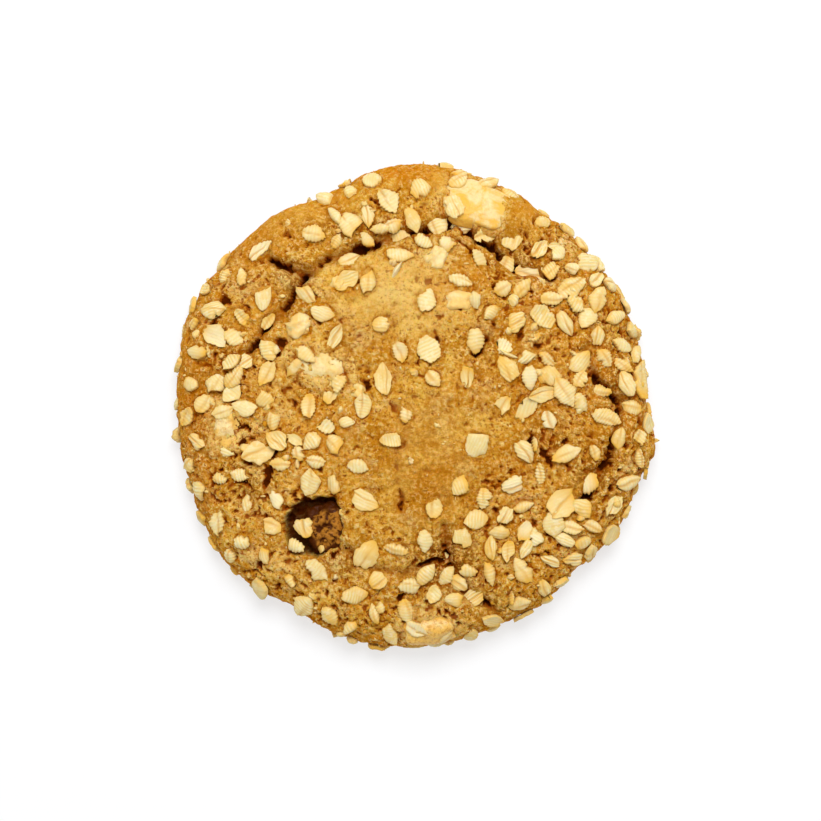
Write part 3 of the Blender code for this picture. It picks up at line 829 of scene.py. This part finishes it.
class OATCOOKIE_OT_dough(bpy.types.Operator):
    """Model the baked dough with its cracks, pores and crumb"""

    bl_idname = "oatcookie.dough"
    bl_label = "Bake the dough"

    def execute(self, context):
        settings = context.scene.oat_cookie_dough
        angles, shares, faces = dough_rings()
        points, normals = plain_form(angles, shares)
        distances = crack_distances(points)
        large = relief(points, normals[:, 2], distances) + crack_shallowing(points, normals[:, 2], distances)
        smooth = smooth_crust(points, shares)
        above = blend_step(points[:, 2], *CRUMB_HEIGHTS)
        fine = crumb_relief(points, smooth, distances) * above * settings.relief
        upward = np.maximum(normals[:, 2], 0)
        hollow = milk_hollow(points) * upward
        to_white = distance_to_white(points)
        bank = BANK_HEIGHT * (1 - blend_step(to_white, *BANK_SPREAD))
        add_hills(bank, points, HIGH_BANKS)
        bank *= upward
        coarse = points + normals * (large + bank - hollow)[:, None]
        rings, seats, shade = flake_seats(coarse, all_flakes())
        fine = fine * (1 - SEAT_SMOOTHNESS * seats) - SEAT_DEPTH * seats
        shaped = coarse + normals * (fine - SEAT_RING[2] * rings)[:, None]
        shaped[:, 2] = np.maximum(shaped[:, 2], 0)
        shaped[shares >= FOOT_SHARE, 2] = 0

        # Painted shade along the cracks, strongest along the deep ones
        crack = np.zeros(len(points))
        for (width, depth, _), distance in zip(CRACKS, distances):
            strength = min(depth / FULL_CRACK_DEPTH, 1)
            crack = np.maximum(crack, strength * bump(distance, CRACK_SHADE_WIDTH * width))
        size, strength = TOAST_CLOUDS
        toasted = place_mask(points, TOASTED_PLACES) + strength * noise_at(points, size)
        toasted = np.maximum(toasted, 1 - blend_step(points[:, 2], *FOOT_TOAST_HEIGHTS))
        rim = blend_step(shares, TOP_SHARE + RIM_TOAST_START, EDGE_SHARE)
        toasted = np.maximum(toasted, RIM_TOAST * rim)
        creamy = 1 - blend_step(to_white, *CREAM_SPREAD)
        masks = {
            "level": np.clip(0.5 + fine / FINE_RANGE, 0, 1),
            # ring: a dip round each flake that the colour also darkens as a painted shadow line; shade:
            # painted soft shade beside the flakes
            "ring": rings,
            "shade": shade,
            "cream": creamy * upward * (1 - smooth) * (points[:, 0] < CREAM_UP_TO_X),
            "crack": np.clip(crack, 0, 1),
            # Painted shade on the lower walls of the hollow round the milk chocolate
            "hollow": HOLLOW_SHADE * blend_step(hollow / HOLLOW_DEPTH, *HOLLOW_SHADE_DEPTHS),
            "toasted": np.clip(toasted, 0, 1),
            "pale": np.clip(place_mask(points, PALE_PLACES), 0, 1),
            "crack_shade_and_dark_crust": np.clip(place_mask(points, CRACK_SHADE_AND_DARK_PLACES), 0, 1),
            "smooth": smooth,
        }
        new_piece("dough", shaped, faces, masks, self.material(settings), "baked_dough", ("cookie",))
        return {"FINISHED"}

    def material(self, settings):
        """Baked crust: golden to brown, mottled by pale grains, brown gaps and dark pores, partly painted
        highlight and shade on the relief, with painted shade in the pits, cracks and hollow and round the
        flakes.
        """
        make = MaterialMaker("baked_dough", settings.golden, specular_ior_level=0.0, ior=1.45)
        make.soften(0.45, (1.0, 0.35, 0.05), 0.9)
        crumbly = make.ramp("smooth", 0.0, 1.0, 1.0, 0.35)
        patches = make.ramp(make.noise(6.0, 4, 0.6, 0.5), 0.38, 0.62)
        make.coat(settings.soft, "pale", 0.8)
        make.coat(settings.brown, make.math("SUBTRACT", patches, make.times("pale", 0.85)))
        make.coat(settings.crumb, make.ramp(make.noise(7.0, 4, 0.65), 0.50, 0.66, 0.0, 0.6), crumbly)
        make.coat(settings.toasted, "toasted", 0.85)
        make.coat(settings.cream, "cream", 0.8)
        # Painted soft shade beside the flakes
        make.coat(settings.brown, "shade", 0.45)
        # Pale on the raised grains and brown in their hollows, with the same noise as the bump: partly the
        # crumb's own mottling, partly painted highlight and shade
        grain = make.noise(0.80, 6, 0.75, 0.4)
        raised = make.times(make.ramp("level", 0.30, 0.60, 0.35, 1.0), crumbly)
        make.coat(settings.crumb, make.ramp(grain, 0.50, 0.60), raised)
        make.coat(settings.gap, make.ramp(grain, 0.37, 0.48, 0.95, 0.0), crumbly)
        # Painted shadow round the flakes, broken up by noise, in the gaps' brown
        around = make.times("ring", make.ramp(make.noise(2.5, 3), 0.40, 0.60, 0.2, 1.0))
        make.coat(settings.gap, around, 0.7)
        # Painted shade along the cracks and darker crust in wide patches, broken up by noise
        make.coat(settings.crack_shade_and_dark_crust, make.ramp(make.noise(0.8, 4, 0.7), 0.44, 0.56, 1.0, 0.05), "crack_shade_and_dark_crust")
        clusters = make.times(make.ramp(make.noise(5.0, 2), 0.42, 0.58, 0.4, 1.0), crumbly)
        pores = make.times(make.ramp(make.noise(0.65, 3, 0.65), 0.37, 0.44, 0.95, 0.0), clusters)
        rough = make.ramp("smooth", 0.4, 0.9, 1.0, 0.35)
        # Painted shade where the fine relief is lowest, at the bottoms of the pits
        pits = make.times(make.ramp("level", 0.14, 0.40, 0.9, 0.0), rough)
        # Painted dark shadow lines along the middle of the rings round the flakes
        shadow_lines = make.times(make.ramp(around, 0.5, 1.0), 0.6)
        # Pit colour: painted shade in the pits, the lines round the flakes and the cracks, and dark pore
        # spots
        make.coat(settings.pit_shade, make.most(pits, pores, shadow_lines, make.times("crack", 0.5)))
        # Painted deep shade at the lowest points of the relief and on the hollow's walls
        make.coat(settings.deep, make.most(make.ramp("level", 0.0, 0.10, 0.95, 0.0), "hollow"))
        make.bumps((grain, 0.55, 1.0), (make.noise(0.30, 3, 0.7), 0.45, 0.15))
        return make.finish(make.noise(1.3, 3), 0.50, 0.74)


def lowest_point(length, width, placing):
    """Height of a flake's lowest corner, so that none reaches the table."""
    stations = ((-1, 0), (-0.55, 0.82), (0.05, 1.0), (0.62, 0.66), (1, 0))
    corners = [(x, side * y) for x, y in stations for side in (-1, 1)]
    return min((placing @ Vector((x * length / 2, y * width / 2, -FLAKE_THICKNESS))).z for x, y in corners)


def slight_tilt(draw):
    """Two small angles in radians."""
    return [math.radians(draw.uniform(-FLAKE_TILT, FLAKE_TILT)) for _ in range(2)]


def placed_flakes(rows, seed):
    """Flakes laid at known places, as (length, width, frame)."""
    draw = random.Random(seed)
    flakes = []
    for x, y, length, width, turn, height in rows:
        point, normal = skin_seen_at(x, y)
        placing = standing_frame(point + height * normal, normal, math.radians(turn), slight_tilt(draw))
        flakes.append((length, width, placing))
    return flakes


def crowding(x, y):
    """Share of the flakes' spacing that is lost at a place seen from above."""
    return FLAKE_CROWDING * bump(min(spot_away_from(x, y, place) for place in CROWDED_PLACES), 1)


def scattered_flakes(taken):
    """The other flakes, thrown over the top and the rim and spaced out."""
    draw = random.Random(FLAKE_SEED + 1)
    flakes = []
    for _ in range(FLAKE_TRIES):
        angle = draw.uniform(-math.pi, math.pi)
        share = draw.uniform(0, FLAKE_REACH)
        length = max(SHORTEST_FLAKE, draw.gauss(*FLAKE_LENGTH))
        width = length * draw.uniform(*FLAKE_SLIMNESS)
        turn = draw.uniform(-math.pi, math.pi)
        tilt = slight_tilt(draw)
        point, normal = skin_at(angle, share)
        if any(spot_away_from(point.x, point.y, place) < 1 for place in BARE_PLACES):
            continue
        room = 1 - crowding(point.x, point.y)
        gaps = [((point - other[2].translation).length, (length + other[0]) / 2) for other in taken + flakes]
        if any(gap < room * (FLAKE_SPACING * reach + FLAKE_ROOM) for gap, reach in gaps):
            continue
        lift = FLAKE_LIFT if any(gap < FLAKE_OVERLAP * reach for gap, reach in gaps) else 0
        placing = standing_frame(point + lift * normal, normal, turn, tilt)
        if lowest_point(length, width, placing) > FLAKE_LOWEST:
            flakes.append((length, width, placing))
    return flakes


def onto_shallow_cracks(flakes):
    """The flakes that lie in a crack, raised with its shallower bed."""
    places = np.array([placing.translation[:] for _, _, placing in flakes])
    upward = np.array([placing[2][2] for _, _, placing in flakes])
    rises = crack_shallowing(places, upward, crack_distances(places))
    for (_, _, placing), rise in zip(flakes, rises.tolist()):
        placing.translation += rise * placing.col[2].to_3d()
    return flakes


@functools.cache
def all_flakes():
    """Every flake, as (length, width, frame)."""
    rows = RIM_FLAKES + DOME_FLAKES + LOWER_FLAKES + RIGHT_FLAKES
    placed = placed_flakes([(*row, 0) for row in rows], FLAKE_SEED)
    stuck = placed_flakes(STUCK_FLAKES, FLAKE_SEED + 2)
    return onto_shallow_cracks(placed + scattered_flakes(placed)) + stuck


def flake_half_width(station):
    """Half width of a leaf along its length, from -1 to 1: blunt at one end and pointed at the other."""
    blunt = (1 - np.abs(np.minimum(station - 0.05, 0) / 1.05) ** 2.0) ** 0.68
    pointed = np.clip(1 - np.abs(np.maximum(station - 0.05, 0) / 0.95) ** 1.6, 0, 1) ** 0.9
    return np.maximum(blunt * pointed, 0.05)


class FlakeDraw(random.Random):
    """Random draws of one flake, by the names of their ranges and chances."""

    def pick(self, name):
        """A value from a named range."""
        return self.uniform(*FLAKE_RANGES[name])

    def happens(self, name):
        """Whether something with a named chance happens."""
        return self.random() < FLAKE_CHANCES[name]


def flake_outline(length, width, steps, draw):
    """A flake from above: shares along and across, places on the leaf, x, y and the noise's shift."""
    blunt_end = -draw.pick("blunt end")
    broken_end = draw.pick("broken end") if draw.happens("broken") else LEAF_END
    slant = draw.pick("slant")
    ragged = draw.pick("raggedness")
    skew = draw.pick("skew")
    notch = draw.pick("notch") if draw.happens("notched") else 0
    notch_side = draw.choice((-1, 1))
    notch_place = draw.pick("notch place") * length
    notch_width = draw.pick("notch width")
    shift = draw.pick("noise shift")

    grids = np.meshgrid(np.linspace(0, 1, steps[0] + 1), np.linspace(-1, 1, steps[1] + 1), indexing="ij")
    run, side = (grid.ravel() for grid in grids)
    end = np.minimum(broken_end + slant * side * (broken_end < LEAF_END), LEAF_END)
    station = blunt_end * (1 - slant * side * 0.5) * (1 - run) + end * run
    half = flake_half_width(station) * draw.pick("slimming") * width / 2
    x = station * length / 2
    field = np.full(len(x), shift)
    half *= 1 + ragged * noise_at(np.column_stack((x, np.sign(side) * 3, field)), 0.5)
    half *= 1 + 0.24 * noise_at(np.column_stack((x, np.sign(side) * 9, field)), 1.8) + skew * np.sign(side)
    half *= 1 - notch * bump(x - notch_place, notch_width) * (side * notch_side > 0)
    ends = (2 * run - 1) ** 4
    x += 3 * ragged * ends * noise_at(np.column_stack((side * half, np.round(run), field)), 0.5)
    y = side * half + draw.pick("bend") * x ** 2 / 2
    return run, side, station, x, y, field


def thin_slab(top, counts, thickness):
    """A plate under a grid of points: its points and faces, and the border that its underside copies."""
    grid = np.arange(len(top)).reshape(counts)
    quads = np.stack((grid[:-1, :-1], grid[1:, :-1], grid[1:, 1:], grid[:-1, 1:]), axis=-1).reshape(-1, 4)
    border = np.concatenate((grid[:, 0], grid[-1, 1:], grid[-2::-1, -1], grid[0, -2:0:-1]))
    low = top[border] * UNDERSIDE_SCALE - (0, 0, thickness)
    first = len(top)
    around = len(border)
    walls = [(int(border[i]), first + i, first + (i + 1) % around, int(border[(i + 1) % around]))
             for i in range(around)]
    bottom = tuple(range(first + around - 1, first - 1, -1))
    return np.vstack((top, low)), quads.tolist() + walls + [bottom], border


def oat_flake(length, width, thickness, draw):
    """Points, faces and masks of one oat flake lying flat."""
    ribs = "across" if draw.happens("ribs across") else "along"
    steps = FLAKE_GRIDS[ribs]
    if length < BIT_LENGTH:
        steps = [count // 2 for count in steps]
    lean = draw.pick("rib lean") + (0 if ribs == "across" else math.pi / 2)
    run, side, station, x, y, field = flake_outline(length, width, steps, draw)

    flat = np.column_stack((x, y, field))
    phase = (x * math.cos(lean) + y * math.sin(lean)) / draw.pick("rib period") + 0.3 * noise_at(flat, 1.6)
    rib = 0.5 + 0.5 * np.cos(2 * np.pi * phase)
    strength = draw.random() ** 1.5
    y += np.sign(side) * np.abs(side) ** 3 * draw.pick("scallops") * (rib - 0.5)
    rib_height = RIB_HEIGHT[0] + (RIB_HEIGHT[1] - RIB_HEIGHT[0]) * strength
    border_share = np.maximum(np.abs(2 * run - 1) ** 4, np.abs(side) ** 4)
    edge = np.clip(1.15 - border_share, 0.15, 1)
    crown = FLAKE_CUP if draw.happens("cupped") else draw.pick("crown")
    z = FLAKE_STAND - min(crown, 0) + crown * (1 - side ** 2) * (1 - station ** 2)
    z += rib_height * (2 * rib - 1) * edge + 0.16 * noise_at(flat, 1.5, SECOND_FIELD) - 0.08 * border_share
    z += draw.pick("curl") * (x / 3) ** 2 + draw.pick("twist") * x * y / 3
    z += draw.pick("lean") * x + draw.pick("lean") * y
    crease = np.zeros(len(x))
    if draw.happens("creased"):
        line = draw.pick("crease place") * width + draw.pick("crease turn") * x
        line += 0.12 * np.sin(x * 1.3 + field)
        fading = blend_step(station * draw.choice((-1, 1)), -1.2, draw.pick("crease end"))
        crease = bump(y - line, draw.pick("crease width")) * fading
        z -= draw.pick("crease depth") * crease

    browned = draw.pick("browning") if draw.happens("browned") else HARDLY_BROWNED
    tip = run if draw.random() < 0.5 else 1 - run
    masks = {
        # rib: where the crests lie, for painted highlight on them and painted shade between them
        "rib": 0.55 + (rib - 0.5) * edge * (0.18 + 0.72 * strength),
        # crease: its brown line, partly painted shade in the groove
        "crease": crease,
        # edge: painted shade towards the flake's border
        "edge": border_share ** 1.5,
        "toasted": np.clip(browned * (0.15 + tip ** 3 + 0.3 * border_share), 0, 1),
        "shade": np.full(len(x), draw.random()),
    }
    points, faces, border = thin_slab(np.column_stack((x, y, z)), [count + 1 for count in steps], thickness)
    masks = {name: np.concatenate((values, values[border])) for name, values in masks.items()}
    return ribs, points, faces, masks


def joined(parts):
    """Many small meshes as one: points, faces and masks."""
    points, faces, masks = [], [], {}
    start = 0
    for part_points, part_faces, part_masks in parts:
        points.append(part_points)
        faces += [tuple(start + corner for corner in face) for face in part_faces]
        for name, values in part_masks.items():
            masks.setdefault(name, []).append(values)
        start += len(part_points)
    return np.vstack(points), faces, {name: np.concatenate(values) for name, values in masks.items()}


def flake_fragments(count):
    """Broken bits of flakes, most of them where the flakes are crowded."""
    draw = random.Random(FLAKE_SEED + 3)
    bits = []
    while len(bits) < count:
        angle = draw.uniform(-math.pi, math.pi)
        share = draw.uniform(0, FLAKE_REACH)
        length, slimness = (draw.uniform(*sizes) for sizes in BIT_SIZES)
        width = length * slimness
        if draw.random() < SLIVER_SHARE:
            length, width = (draw.uniform(*sizes) for sizes in SLIVER_SIZES)
        turn = draw.uniform(-math.pi, math.pi)
        tilt = [draw.uniform(-BIT_TILT, BIT_TILT) for _ in range(2)]
        chance = draw.random()
        point, normal = skin_at(angle, share)
        if chance < BITS_ANYWHERE + crowding(point.x, point.y) / FLAKE_CROWDING:
            bits.append((length, width, standing_frame(point, normal, turn, tilt)))
    return bits


class OATCOOKIE_OT_flakes(bpy.types.Operator):
    """Model every oat flake with its ribs, crease and edges"""

    bl_idname = "oatcookie.flakes"
    bl_label = "Scatter the oat flakes"

    def execute(self, context):
        settings = context.scene.oat_cookie_flakes
        kinds = {"across": [], "along": []}
        bits = flake_fragments(settings.fragments)
        for index, (length, width, placing) in enumerate(all_flakes() + bits):
            draw = FlakeDraw(FLAKE_SEED * 1000 + index)
            kind, points, faces, masks = oat_flake(length, width, settings.thickness / MM, draw)
            kinds[kind].append((carried(points, placing), faces, masks))
        finish = self.material(settings)
        for kind, parts in kinds.items():
            new_piece("oat_flakes_ribbed_" + kind, *joined(parts), finish, "baked_dough")
        return {"FINISHED"}

    def material(self, settings):
        """Rolled oats: cream ribs, yellower grooves, a brown crease and some toasted tips. The cream of the
        crests is painted highlight and the yellow of the grooves painted shade, over the oats' own tones;
        the yellow edges are painted shade too.
        """
        make = MaterialMaker("oat_flakes", settings.groove, specular_ior_level=0.08, ior=1.45)
        make.soften(0.30, (1.0, 0.6, 0.2), 0.4)
        # Cream on the ribs' crests over the yellow base: painted highlight on the crests, painted shade in
        # the grooves
        make.coat(settings.crest, make.ramp("rib", 0.0, 0.75))
        clouds = make.ramp(make.noise(2.5, 2), 0.35, 0.65)
        make.coat(settings.groove, make.ramp("shade", 0.2, 1.0, 0.0, 0.85), clouds)
        make.coat(settings.floury, make.ramp("shade", 0.0, 0.18, 0.7, 0.0))
        make.coat(settings.floury, make.ramp(make.noise(1.3, 3, 0.6), 0.50, 0.66, 0.0, 0.65))
        # Painted shade towards the flake's edges
        make.coat(settings.groove, "edge", 0.6)
        # The crease: the oat's own brown line, with painted shade in its groove
        make.coat(settings.crease, "crease", 0.75)
        make.coat(settings.toasted, "toasted")
        make.coat(settings.groove, make.ramp(make.noise(0.5, 4, 0.7), 0.56, 0.72, 0.0, 0.6))
        make.bumps((make.noise(0.35, 3, 0.6), 0.4, 0.07))
        return make.finish(make.noise(0.8, 2), 0.42, 0.62)


def ball(steps):
    """Points and faces of a round ball, one in radius."""
    shape = bmesh.new()
    bmesh.ops.create_icosphere(shape, subdivisions=steps, radius=1)
    points = np.array([vertex.co[:] for vertex in shape.verts])
    faces = [tuple(vertex.index for vertex in face.verts) for face in shape.faces]
    shape.free()
    return points / np.linalg.norm(points, axis=1)[:, None], faces


def block_form(directions, half_sizes):
    """The uneven rounded block that each piece of chocolate is, before it is placed."""
    reach = (np.abs(directions) ** PIECE_BOXINESS).sum(axis=1) ** (-1 / PIECE_BOXINESS)
    reach *= 1 + PIECE_UNEVENNESS * noise_at(directions * 1.7 + np.array(half_sizes))
    return directions * (np.array(half_sizes) + SEAT_GROWTH) * reach[:, None]


def piece_frame(x, y, turn, sink):
    """Frame of a piece whose middle lies a little under the dough's surface."""
    point, normal = skin_seen_at(x, y)
    return standing_frame(point - sink * normal, normal, math.radians(turn))


class OATCOOKIE_OT_white_chocolate(bpy.types.Operator):
    """Model the melted pieces of white chocolate and the small chips"""

    bl_idname = "oatcookie.white_chocolate"
    bl_label = "Set the white chocolate"

    def execute(self, context):
        finish = self.material(context.scene.oat_cookie_chocolate)
        directions, faces = ball(6)
        for name, x, y, half_sizes, turn, sink in WHITE_PIECES:
            points = block_form(directions, half_sizes)
            points += directions * lumps_at(points, MELTED_LUMPS)[:, None]
            masks = self.masks(points, half_sizes, MELTED_LEVELS, WHITE_LOOKS[name])
            placed = carried(points, piece_frame(x, y, turn, sink))
            new_piece(name + "_melted", placed, faces, masks, finish, "white_chocolate", (name,))
        draw = random.Random(FLAKE_SEED + 4)
        directions, faces = ball(4)
        parts = []
        for x, y, half_sizes in CHIPS:
            points = block_form(directions, half_sizes)
            points += directions * lumps_at(points, CHIP_LUMPS)[:, None]
            masks = self.masks(points, half_sizes, CHIP_LEVELS, CHIP_LOOK)
            placed = carried(points, piece_frame(x, y, draw.uniform(*CHIP_TURN), CHIP_SINK))
            parts.append((placed, faces, masks))
        new_piece("white_chips", *joined(parts), finish, "white_chocolate")
        return {"FINISHED"}

    def masks(self, points, half_sizes, levels, look):
        """How high each point lies on its piece, and the piece's yellowness and speckles."""
        tint, speckled = look
        return {
            "level": blend_step(points[:, 2] / half_sizes[2], *levels),
            "tint": np.full(len(points), tint),
            "speckled": np.full(len(points), speckled),
        }

    def material(self, settings):
        """White chocolate: pale and creamy on top, browned where it meets the dough."""
        make = MaterialMaker("white_chocolate", settings.white, specular_ior_level=0.4, ior=1.45)
        make.soften(0.35, (1.0, 0.7, 0.25), 0.8)
        make.coat(settings.yellow, make.ramp(make.noise(4.5, 4, 0.6, 0.4), 0.42, 0.58, 1.0, 0.25), "tint")
        browned = make.ramp(make.noise(1.8, 4, 0.65), 0.55, 0.72, 0.0, 0.6)
        make.coat(settings.baked, make.most(make.ramp("level", 0.05, 0.85, 0.95, 0.0), browned))
        speckles = make.ramp(make.noise(0.7, 5, 0.75), 0.40, 0.52, 0.75, 0.0)
        make.coat(settings.speckle, speckles, "speckled")
        make.bumps((make.noise(1.6, 4, 0.6), 0.7, 0.5), (make.noise(0.5, 3, 0.6), 0.4, 0.10))
        return make.finish(make.noise(1.5, 3), 0.30, 0.5)


class OATCOOKIE_OT_milk_chocolate(bpy.types.Operator):
    """Model the cracked chunk of milk chocolate in its hollow"""

    bl_idname = "oatcookie.milk_chocolate"
    bl_label = "Set the milk chocolate"

    def execute(self, context):
        name, x, y, half_sizes, turn, sink = MILK_PIECE
        directions, faces = ball(6)
        points = block_form(directions, half_sizes)
        ridges = lumps_at(points, MILK_RIDGES)
        splits = bump(noise_at(points, MILK_SPLIT_SIZE, SECOND_FIELD), MILK_SPLIT_WIDTH)
        points += directions * (ridges - MILK_SPLIT_DEPTH * splits)[:, None]
        # Level keeps the milk colour: it falls in the hollows between the ridges, in the splits and round
        # the edge, where the dark colour paints shade
        reach = block_reach(points, (0, 0), half_sizes) + lumps_at(points, MILK_EDGE_RAGS)
        level = np.clip(0.55 + 1.2 * ridges - 0.5 * splits, 0, 1)
        level *= 1 - 0.9 * blend_step(reach, *MILK_EDGE_SHADE)
        placed = carried(points, piece_frame(x, y, turn, sink))
        masks = {"level": level}
        finish = self.material(context.scene.oat_cookie_chocolate)
        new_piece("milk_chocolate_cracked", placed, faces, masks, finish, "milk_chocolate", (name,))
        return {"FINISHED"}

    def material(self, settings):
        """Milk chocolate: brown with a soft sheen, darker in some patches, and darker in its cracks and
        round its edge as painted shade.
        """
        make = MaterialMaker("milk_chocolate", settings.dark, specular_ior_level=0.08, ior=1.45)
        clouds = make.ramp(make.noise(1.1, 4, 0.7), 0.39, 0.54)
        make.coat(settings.milk, make.ramp("level", 0.05, 0.55), clouds)
        make.bumps((make.noise(0.8, 4, 0.65), 0.6, 0.18), (make.noise(0.25, 3, 0.6), 0.4, 0.05))
        return make.finish(make.noise(0.9, 3), 0.3, 0.55)


class OATCOOKIE_OT_crumbs(bpy.types.Operator):
    """Scatter dough crumbs and pale oat specks over the rough places"""

    bl_idname = "oatcookie.crumbs"
    bl_label = "Scatter the crumbs"

    def execute(self, context):
        settings = context.scene.oat_cookie_crumbs
        dough = context.scene.oat_cookie_dough
        flakes = context.scene.oat_cookie_flakes
        size = settings.size / MM
        browned = self.material("dough_crumb", dough.brown, dough.crumb)
        creamy = self.material("oat_speck", flakes.groove, flakes.crest)
        self.scatter("dough_crumbs", settings.crumbs, size, CRUMB_SEED, browned)
        self.scatter("oat_specks", settings.specks, size * SPECK_SIZE, CRUMB_SEED + 1, creamy)
        return {"FINISHED"}

    def scatter(self, name, count, size, seed, finish):
        """Small uneven grains pressed onto the crust."""
        draw = np.random.default_rng(seed)
        directions, faces = ball(2)
        angles = draw.uniform(-np.pi, np.pi, count)
        shares = draw.uniform(0, FLAKE_REACH, count)
        places, normals = plain_form(angles, shares)
        distances = crack_distances(places)
        smooth = smooth_crust(places, shares)
        heights = relief(places, normals[:, 2], distances) + crumb_relief(places, smooth, distances)
        kept = (draw.random(count) > CRUMBS_OFF_SMOOTH * smooth) & (milk_hollow(places) < 0.1)
        parts = []
        for place, normal, height in zip(places[kept], normals[kept], heights[kept]):
            stretch = size * draw.lognormal(0, CRUMB_SPREAD) * draw.permutation(CRUMB_STRETCH)
            grain = directions * stretch * draw.uniform(*CRUMB_RAGS, (len(directions), 1))
            masks = {"shade": np.full(len(grain), draw.random())}
            parts.append((grain + place + normal * (height + CRUMB_LIFT * size), faces, masks))
        new_piece(name, *joined(parts), finish, "baked_dough")

    def material(self, name, dark, pale):
        """Crumbs from dark to pale."""
        make = MaterialMaker(name, dark, specular_ior_level=0.05, ior=1.45)
        make.coat(pale, make.ramp("shade", 0.1, 0.9))
        make.bumps((make.noise(0.3, 3, 0.6), 0.5, 0.06))
        return make.finish(make.noise(0.6, 2), 0.5, 0.75)


class OATCOOKIE_OT_stage(bpy.types.Operator):
    """Set the white paper floor, the soft light and the camera straight above"""

    bl_idname = "oatcookie.stage"
    bl_label = "Set the stage"

    PAPER_SIZE = 3.0
    PAPER_DROP = 0.05 * MM
    MM_PER_PIXEL = 0.2079
    PICTURE_PIXELS = 821
    COOKIE_MIDDLE = (411.5, 406.5)
    WIDEST_HEIGHT = EDGE_HEIGHT
    SENSOR = 36.0
    KEY_PLACE = (0.03, 0.36, 0.76)
    KEY_SIZE = 0.38

    def execute(self, context):
        settings = context.scene.oat_cookie_stage
        self.paper(settings)
        self.lights(context, settings)
        self.camera(context, settings)
        context.scene.view_settings.view_transform = "Standard"
        return {"FINISHED"}

    def paper(self, settings):
        """A large sheet of white paper, lit a little from behind."""
        bpy.ops.mesh.primitive_plane_add(size=self.PAPER_SIZE, location=(0, 0, -self.PAPER_DROP))
        paper = bpy.context.object
        paper.name = "paper"
        make = MaterialMaker("white_paper", settings.paper, specular_ior_level=0.0, roughness=1.0,
                             emission_strength=settings.paper_glow)
        make.link(make.colour, make.shader.inputs["Base Color"])
        make.link(WHITE, make.shader.inputs["Emission Color"])
        paper.data.materials.append(make.material)
        paper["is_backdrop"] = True

    def lights(self, context, settings):
        """An even fill from all sides, and a large soft light at +Y."""
        world = bpy.data.worlds.new("soft_fill")
        world.use_nodes = True
        background = world.node_tree.nodes["Background"]
        background.inputs["Color"].default_value = (*WHITE, 1)
        background.inputs["Strength"].default_value = settings.fill
        context.scene.world = world
        light = bpy.data.lights.new("key", "AREA")
        light.energy = settings.key
        light.size = self.KEY_SIZE
        key = bpy.data.objects.new("key", light)
        key.location = self.KEY_PLACE
        key.rotation_euler = (-Vector(self.KEY_PLACE)).to_track_quat("-Z", "Y").to_euler()
        context.scene.collection.objects.link(key)

    def camera(self, context, settings):
        """Straight above, framed as the photograph is."""
        camera = bpy.data.cameras.new("above")
        camera.lens = settings.lens
        camera.sensor_width = self.SENSOR
        pixel = self.MM_PER_PIXEL * MM
        middle = self.PICTURE_PIXELS / 2
        height = pixel * self.PICTURE_PIXELS * settings.lens / self.SENSOR + self.WIDEST_HEIGHT * MM
        viewer = bpy.data.objects.new("above", camera)
        viewer.location = (
            (middle - self.COOKIE_MIDDLE[0]) * pixel, (self.COOKIE_MIDDLE[1] - middle) * pixel, height)
        context.scene.collection.objects.link(viewer)
        context.scene.camera = viewer


SETTINGS = {
    "oat_cookie_dough": OatCookieDough,
    "oat_cookie_flakes": OatCookieFlakes,
    "oat_cookie_chocolate": OatCookieChocolate,
    "oat_cookie_crumbs": OatCookieCrumbs,
    "oat_cookie_stage": OatCookieStage,
}
STEPS = (
    OATCOOKIE_OT_stage,
    OATCOOKIE_OT_dough,
    OATCOOKIE_OT_flakes,
    OATCOOKIE_OT_white_chocolate,
    OATCOOKIE_OT_milk_chocolate,
    OATCOOKIE_OT_crumbs,
)


class OATCOOKIE_PT_panel(bpy.types.Panel):
    """Settings and steps of the oat cookie"""

    bl_idname = "OATCOOKIE_PT_panel"
    bl_label = "Oat Cookie"
    bl_space_type = "VIEW_3D"
    bl_region_type = "UI"
    bl_category = "Oat Cookie"

    def draw(self, context):
        for name, group in SETTINGS.items():
            box = self.layout.box()
            for prop in group.__annotations__:
                box.prop(getattr(context.scene, name), prop)
        for step in STEPS:
            self.layout.operator(step.bl_idname)


CLASSES = (*SETTINGS.values(), *STEPS, OATCOOKIE_PT_panel)


def register():
    """Register the settings, the steps and the panel."""
    for item in CLASSES:
        bpy.utils.register_class(item)
    for name, group in SETTINGS.items():
        setattr(bpy.types.Scene, name, bpy.props.PointerProperty(type=group))


def unregister():
    """Take them away again."""
    for name in SETTINGS:
        delattr(bpy.types.Scene, name)
    for item in reversed(CLASSES):
        bpy.utils.unregister_class(item)


def main():
    """Run the steps in order."""
    register()
    bpy.ops.oatcookie.stage()
    bpy.ops.oatcookie.dough()
    bpy.ops.oatcookie.flakes()
    bpy.ops.oatcookie.white_chocolate()
    bpy.ops.oatcookie.milk_chocolate()
    bpy.ops.oatcookie.crumbs()
    boxes = {"solid": SOLID_BOX, "visual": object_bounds()}
    boxes = {name: [[float(value) for value in corner] for corner in box] for name, box in boxes.items()}


if __name__ == "__main__":
    main()
